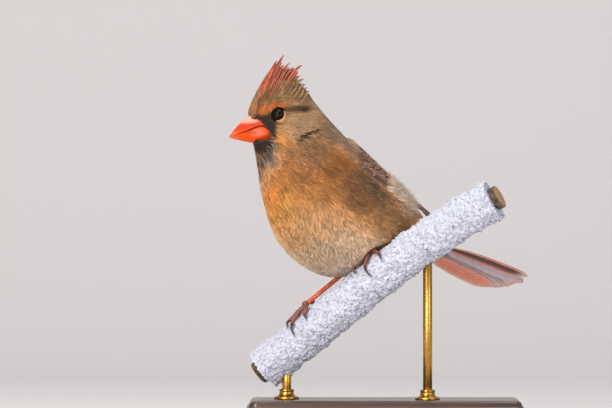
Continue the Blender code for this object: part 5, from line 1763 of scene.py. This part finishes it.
# How far in from the edge, and how high, from the underside to the top.
BASE_EDGE = ((1.2, 0.0), (0.3, 0.3), (0.0, 0.9), (0.0, 5.6), (0.3, 6.2), (1.0, 6.5), (1.4, 6.9), (1.6, 7.8),
             (2.2, 9.0), (3.2, 9.7), (4.6, 10.0))
ROD_PLACES, ROD_RADIUS = {"low": 20.0, "high": 119.0}, 2.5
# Radius and height over the base of the collar's turned outline.
COLLAR = ((2.6, 0.0), (6.6, 0.0), (6.9, 0.3), (6.9, 1.1), (6.5, 1.5), (5.0, 1.9), (4.1, 2.7), (3.8, 4.2),
          (4.1, 4.6), (4.1, 5.2), (3.6, 5.6), (2.6, 5.7))
# Sides of a lathe-turned piece, and how far its end edges are broken.
TURNED_SIDES, BROKEN_EDGE = 48, 0.3


def rounded_rectangle(inset, height):
    corner = max(BASE_CORNER - inset, 0.5)
    points = []
    for quarter in range(4):
        for turn in np.radians(np.linspace(0, 90, 9)) + quarter * math.pi / 2:
            middle_x = (BASE_SIZE[0] / 2 - inset - corner) * (-1 if quarter in (1, 2) else 1)
            middle_y = (BASE_SIZE[1] / 2 - inset - corner) * (-1 if quarter in (2, 3) else 1)
            points.append((middle_x + corner * math.cos(turn), middle_y + corner * math.sin(turn), height))
    return points


plinth = loft("plinth", [rounded_rectangle(*edge) for edge in BASE_EDGE], base_material)
dress(plinth, "stand_base", slot="base_wood")


def turned(name, outline, x, y):
    """A brass piece on the base: an outline of (radius, height) pairs swept round an upright axis."""
    turn = np.linspace(0, 2 * np.pi, TURNED_SIDES, endpoint=False)
    level = BASE_SIZE[2] + 0 * turn
    rings = [
        np.stack([x + radius * np.cos(turn), y + radius * np.sin(turn), level + height], -1)
        for radius, height in outline
    ]
    return loft(name, rings, brass_material)


for which, place in ROD_PLACES.items():
    x, y, top = branch_points(place)[0][0]
    length = top - BRANCH_RADIUS * 0.8 - BASE_SIZE[2]
    narrow = ROD_RADIUS - BROKEN_EDGE
    outline = (
        (narrow, BROKEN_EDGE), (ROD_RADIUS, 2 * BROKEN_EDGE),
        (ROD_RADIUS, length - BROKEN_EDGE), (narrow, length),
    )
    dress(turned(f"rod_{which}", outline, x, y), f"stand_rod_{which}", slot="rod_metal")
    dress(turned(f"collar_{which}", COLLAR, x, y), slot="rod_metal")

# %% [markdown]
# ## Floor and light
# A pale floor that curves up behind, and broad soft lights, as for a picture of a specimen.  The day of
# the photograph was overcast: light from all round, a little more from above and from the left, and some
# thrown back up from the snow below.

# %% The floor
FLOOR_SIZE, FLOOR_BACK, FLOOR_CURVE = 4.0, 1.1, 0.6
floor_material, _, floor_shader = shader_of("pale painted floor", Roughness=0.85)
floor_shader.inputs["Base Color"].default_value = rgba("#CFCBCA")
profile = [(-FLOOR_SIZE, 0.0), (FLOOR_BACK, 0.0)]
for turn in np.linspace(0, math.pi / 2, 13)[1:]:
    profile.append((FLOOR_BACK + FLOOR_CURVE * math.sin(turn), FLOOR_CURVE * (1 - math.cos(turn))))
profile.append((FLOOR_BACK + FLOOR_CURVE, FLOOR_SIZE))
floor_points = [(x / MM, y / MM, z / MM) for y, z in profile for x in (-FLOOR_SIZE, FLOOR_SIZE)]
floor_faces = [(2 * i, 2 * i + 1, 2 * i + 3, 2 * i + 2) for i in range(len(profile) - 1)]
floor = mesh_object("floor", floor_points, floor_faces, floor_material)

# %% The lights
# Name, place, size in metres, watts and colour of each soft light; all aim at the bird.
LIGHTS = (
    ("key", (-1.1, -1.5, 1.9), 0.95, 35.0, "#FFFDFA"),
    ("fill", (1.6, -1.7, 0.35), 1.6, 19.0, "#F8F8FF"),
    ("top", (0.1, 0.4, 2.1), 1.6, 17.0, "#FFFFFF"),
    ("bounce", (-0.5, -1.2, 0.06), 1.0, 21.0, "#FFF4E8"),
)
for name, place, size, watts, colour in LIGHTS:
    data = bpy.data.lights.new(name, "AREA")
    data.shape, data.size, data.energy, data.color = "DISK", size, watts, linear(colour)
    lamp = bpy.data.objects.new(name, data)
    lamp.location = place
    lamp.rotation_euler = (PICTURE_CENTRE - Vector(place)).to_track_quat("-Z", "Y").to_euler()
    bpy.context.scene.collection.objects.link(lamp)

world = bpy.data.worlds.new("overcast studio")
world.use_nodes = True
world.node_tree.nodes["Background"].inputs["Color"].default_value = rgba("#D4D6DC")
world.node_tree.nodes["Background"].inputs["Strength"].default_value = 0.62
bpy.context.scene.world = world
bpy.context.scene.view_settings.view_transform = "Standard"
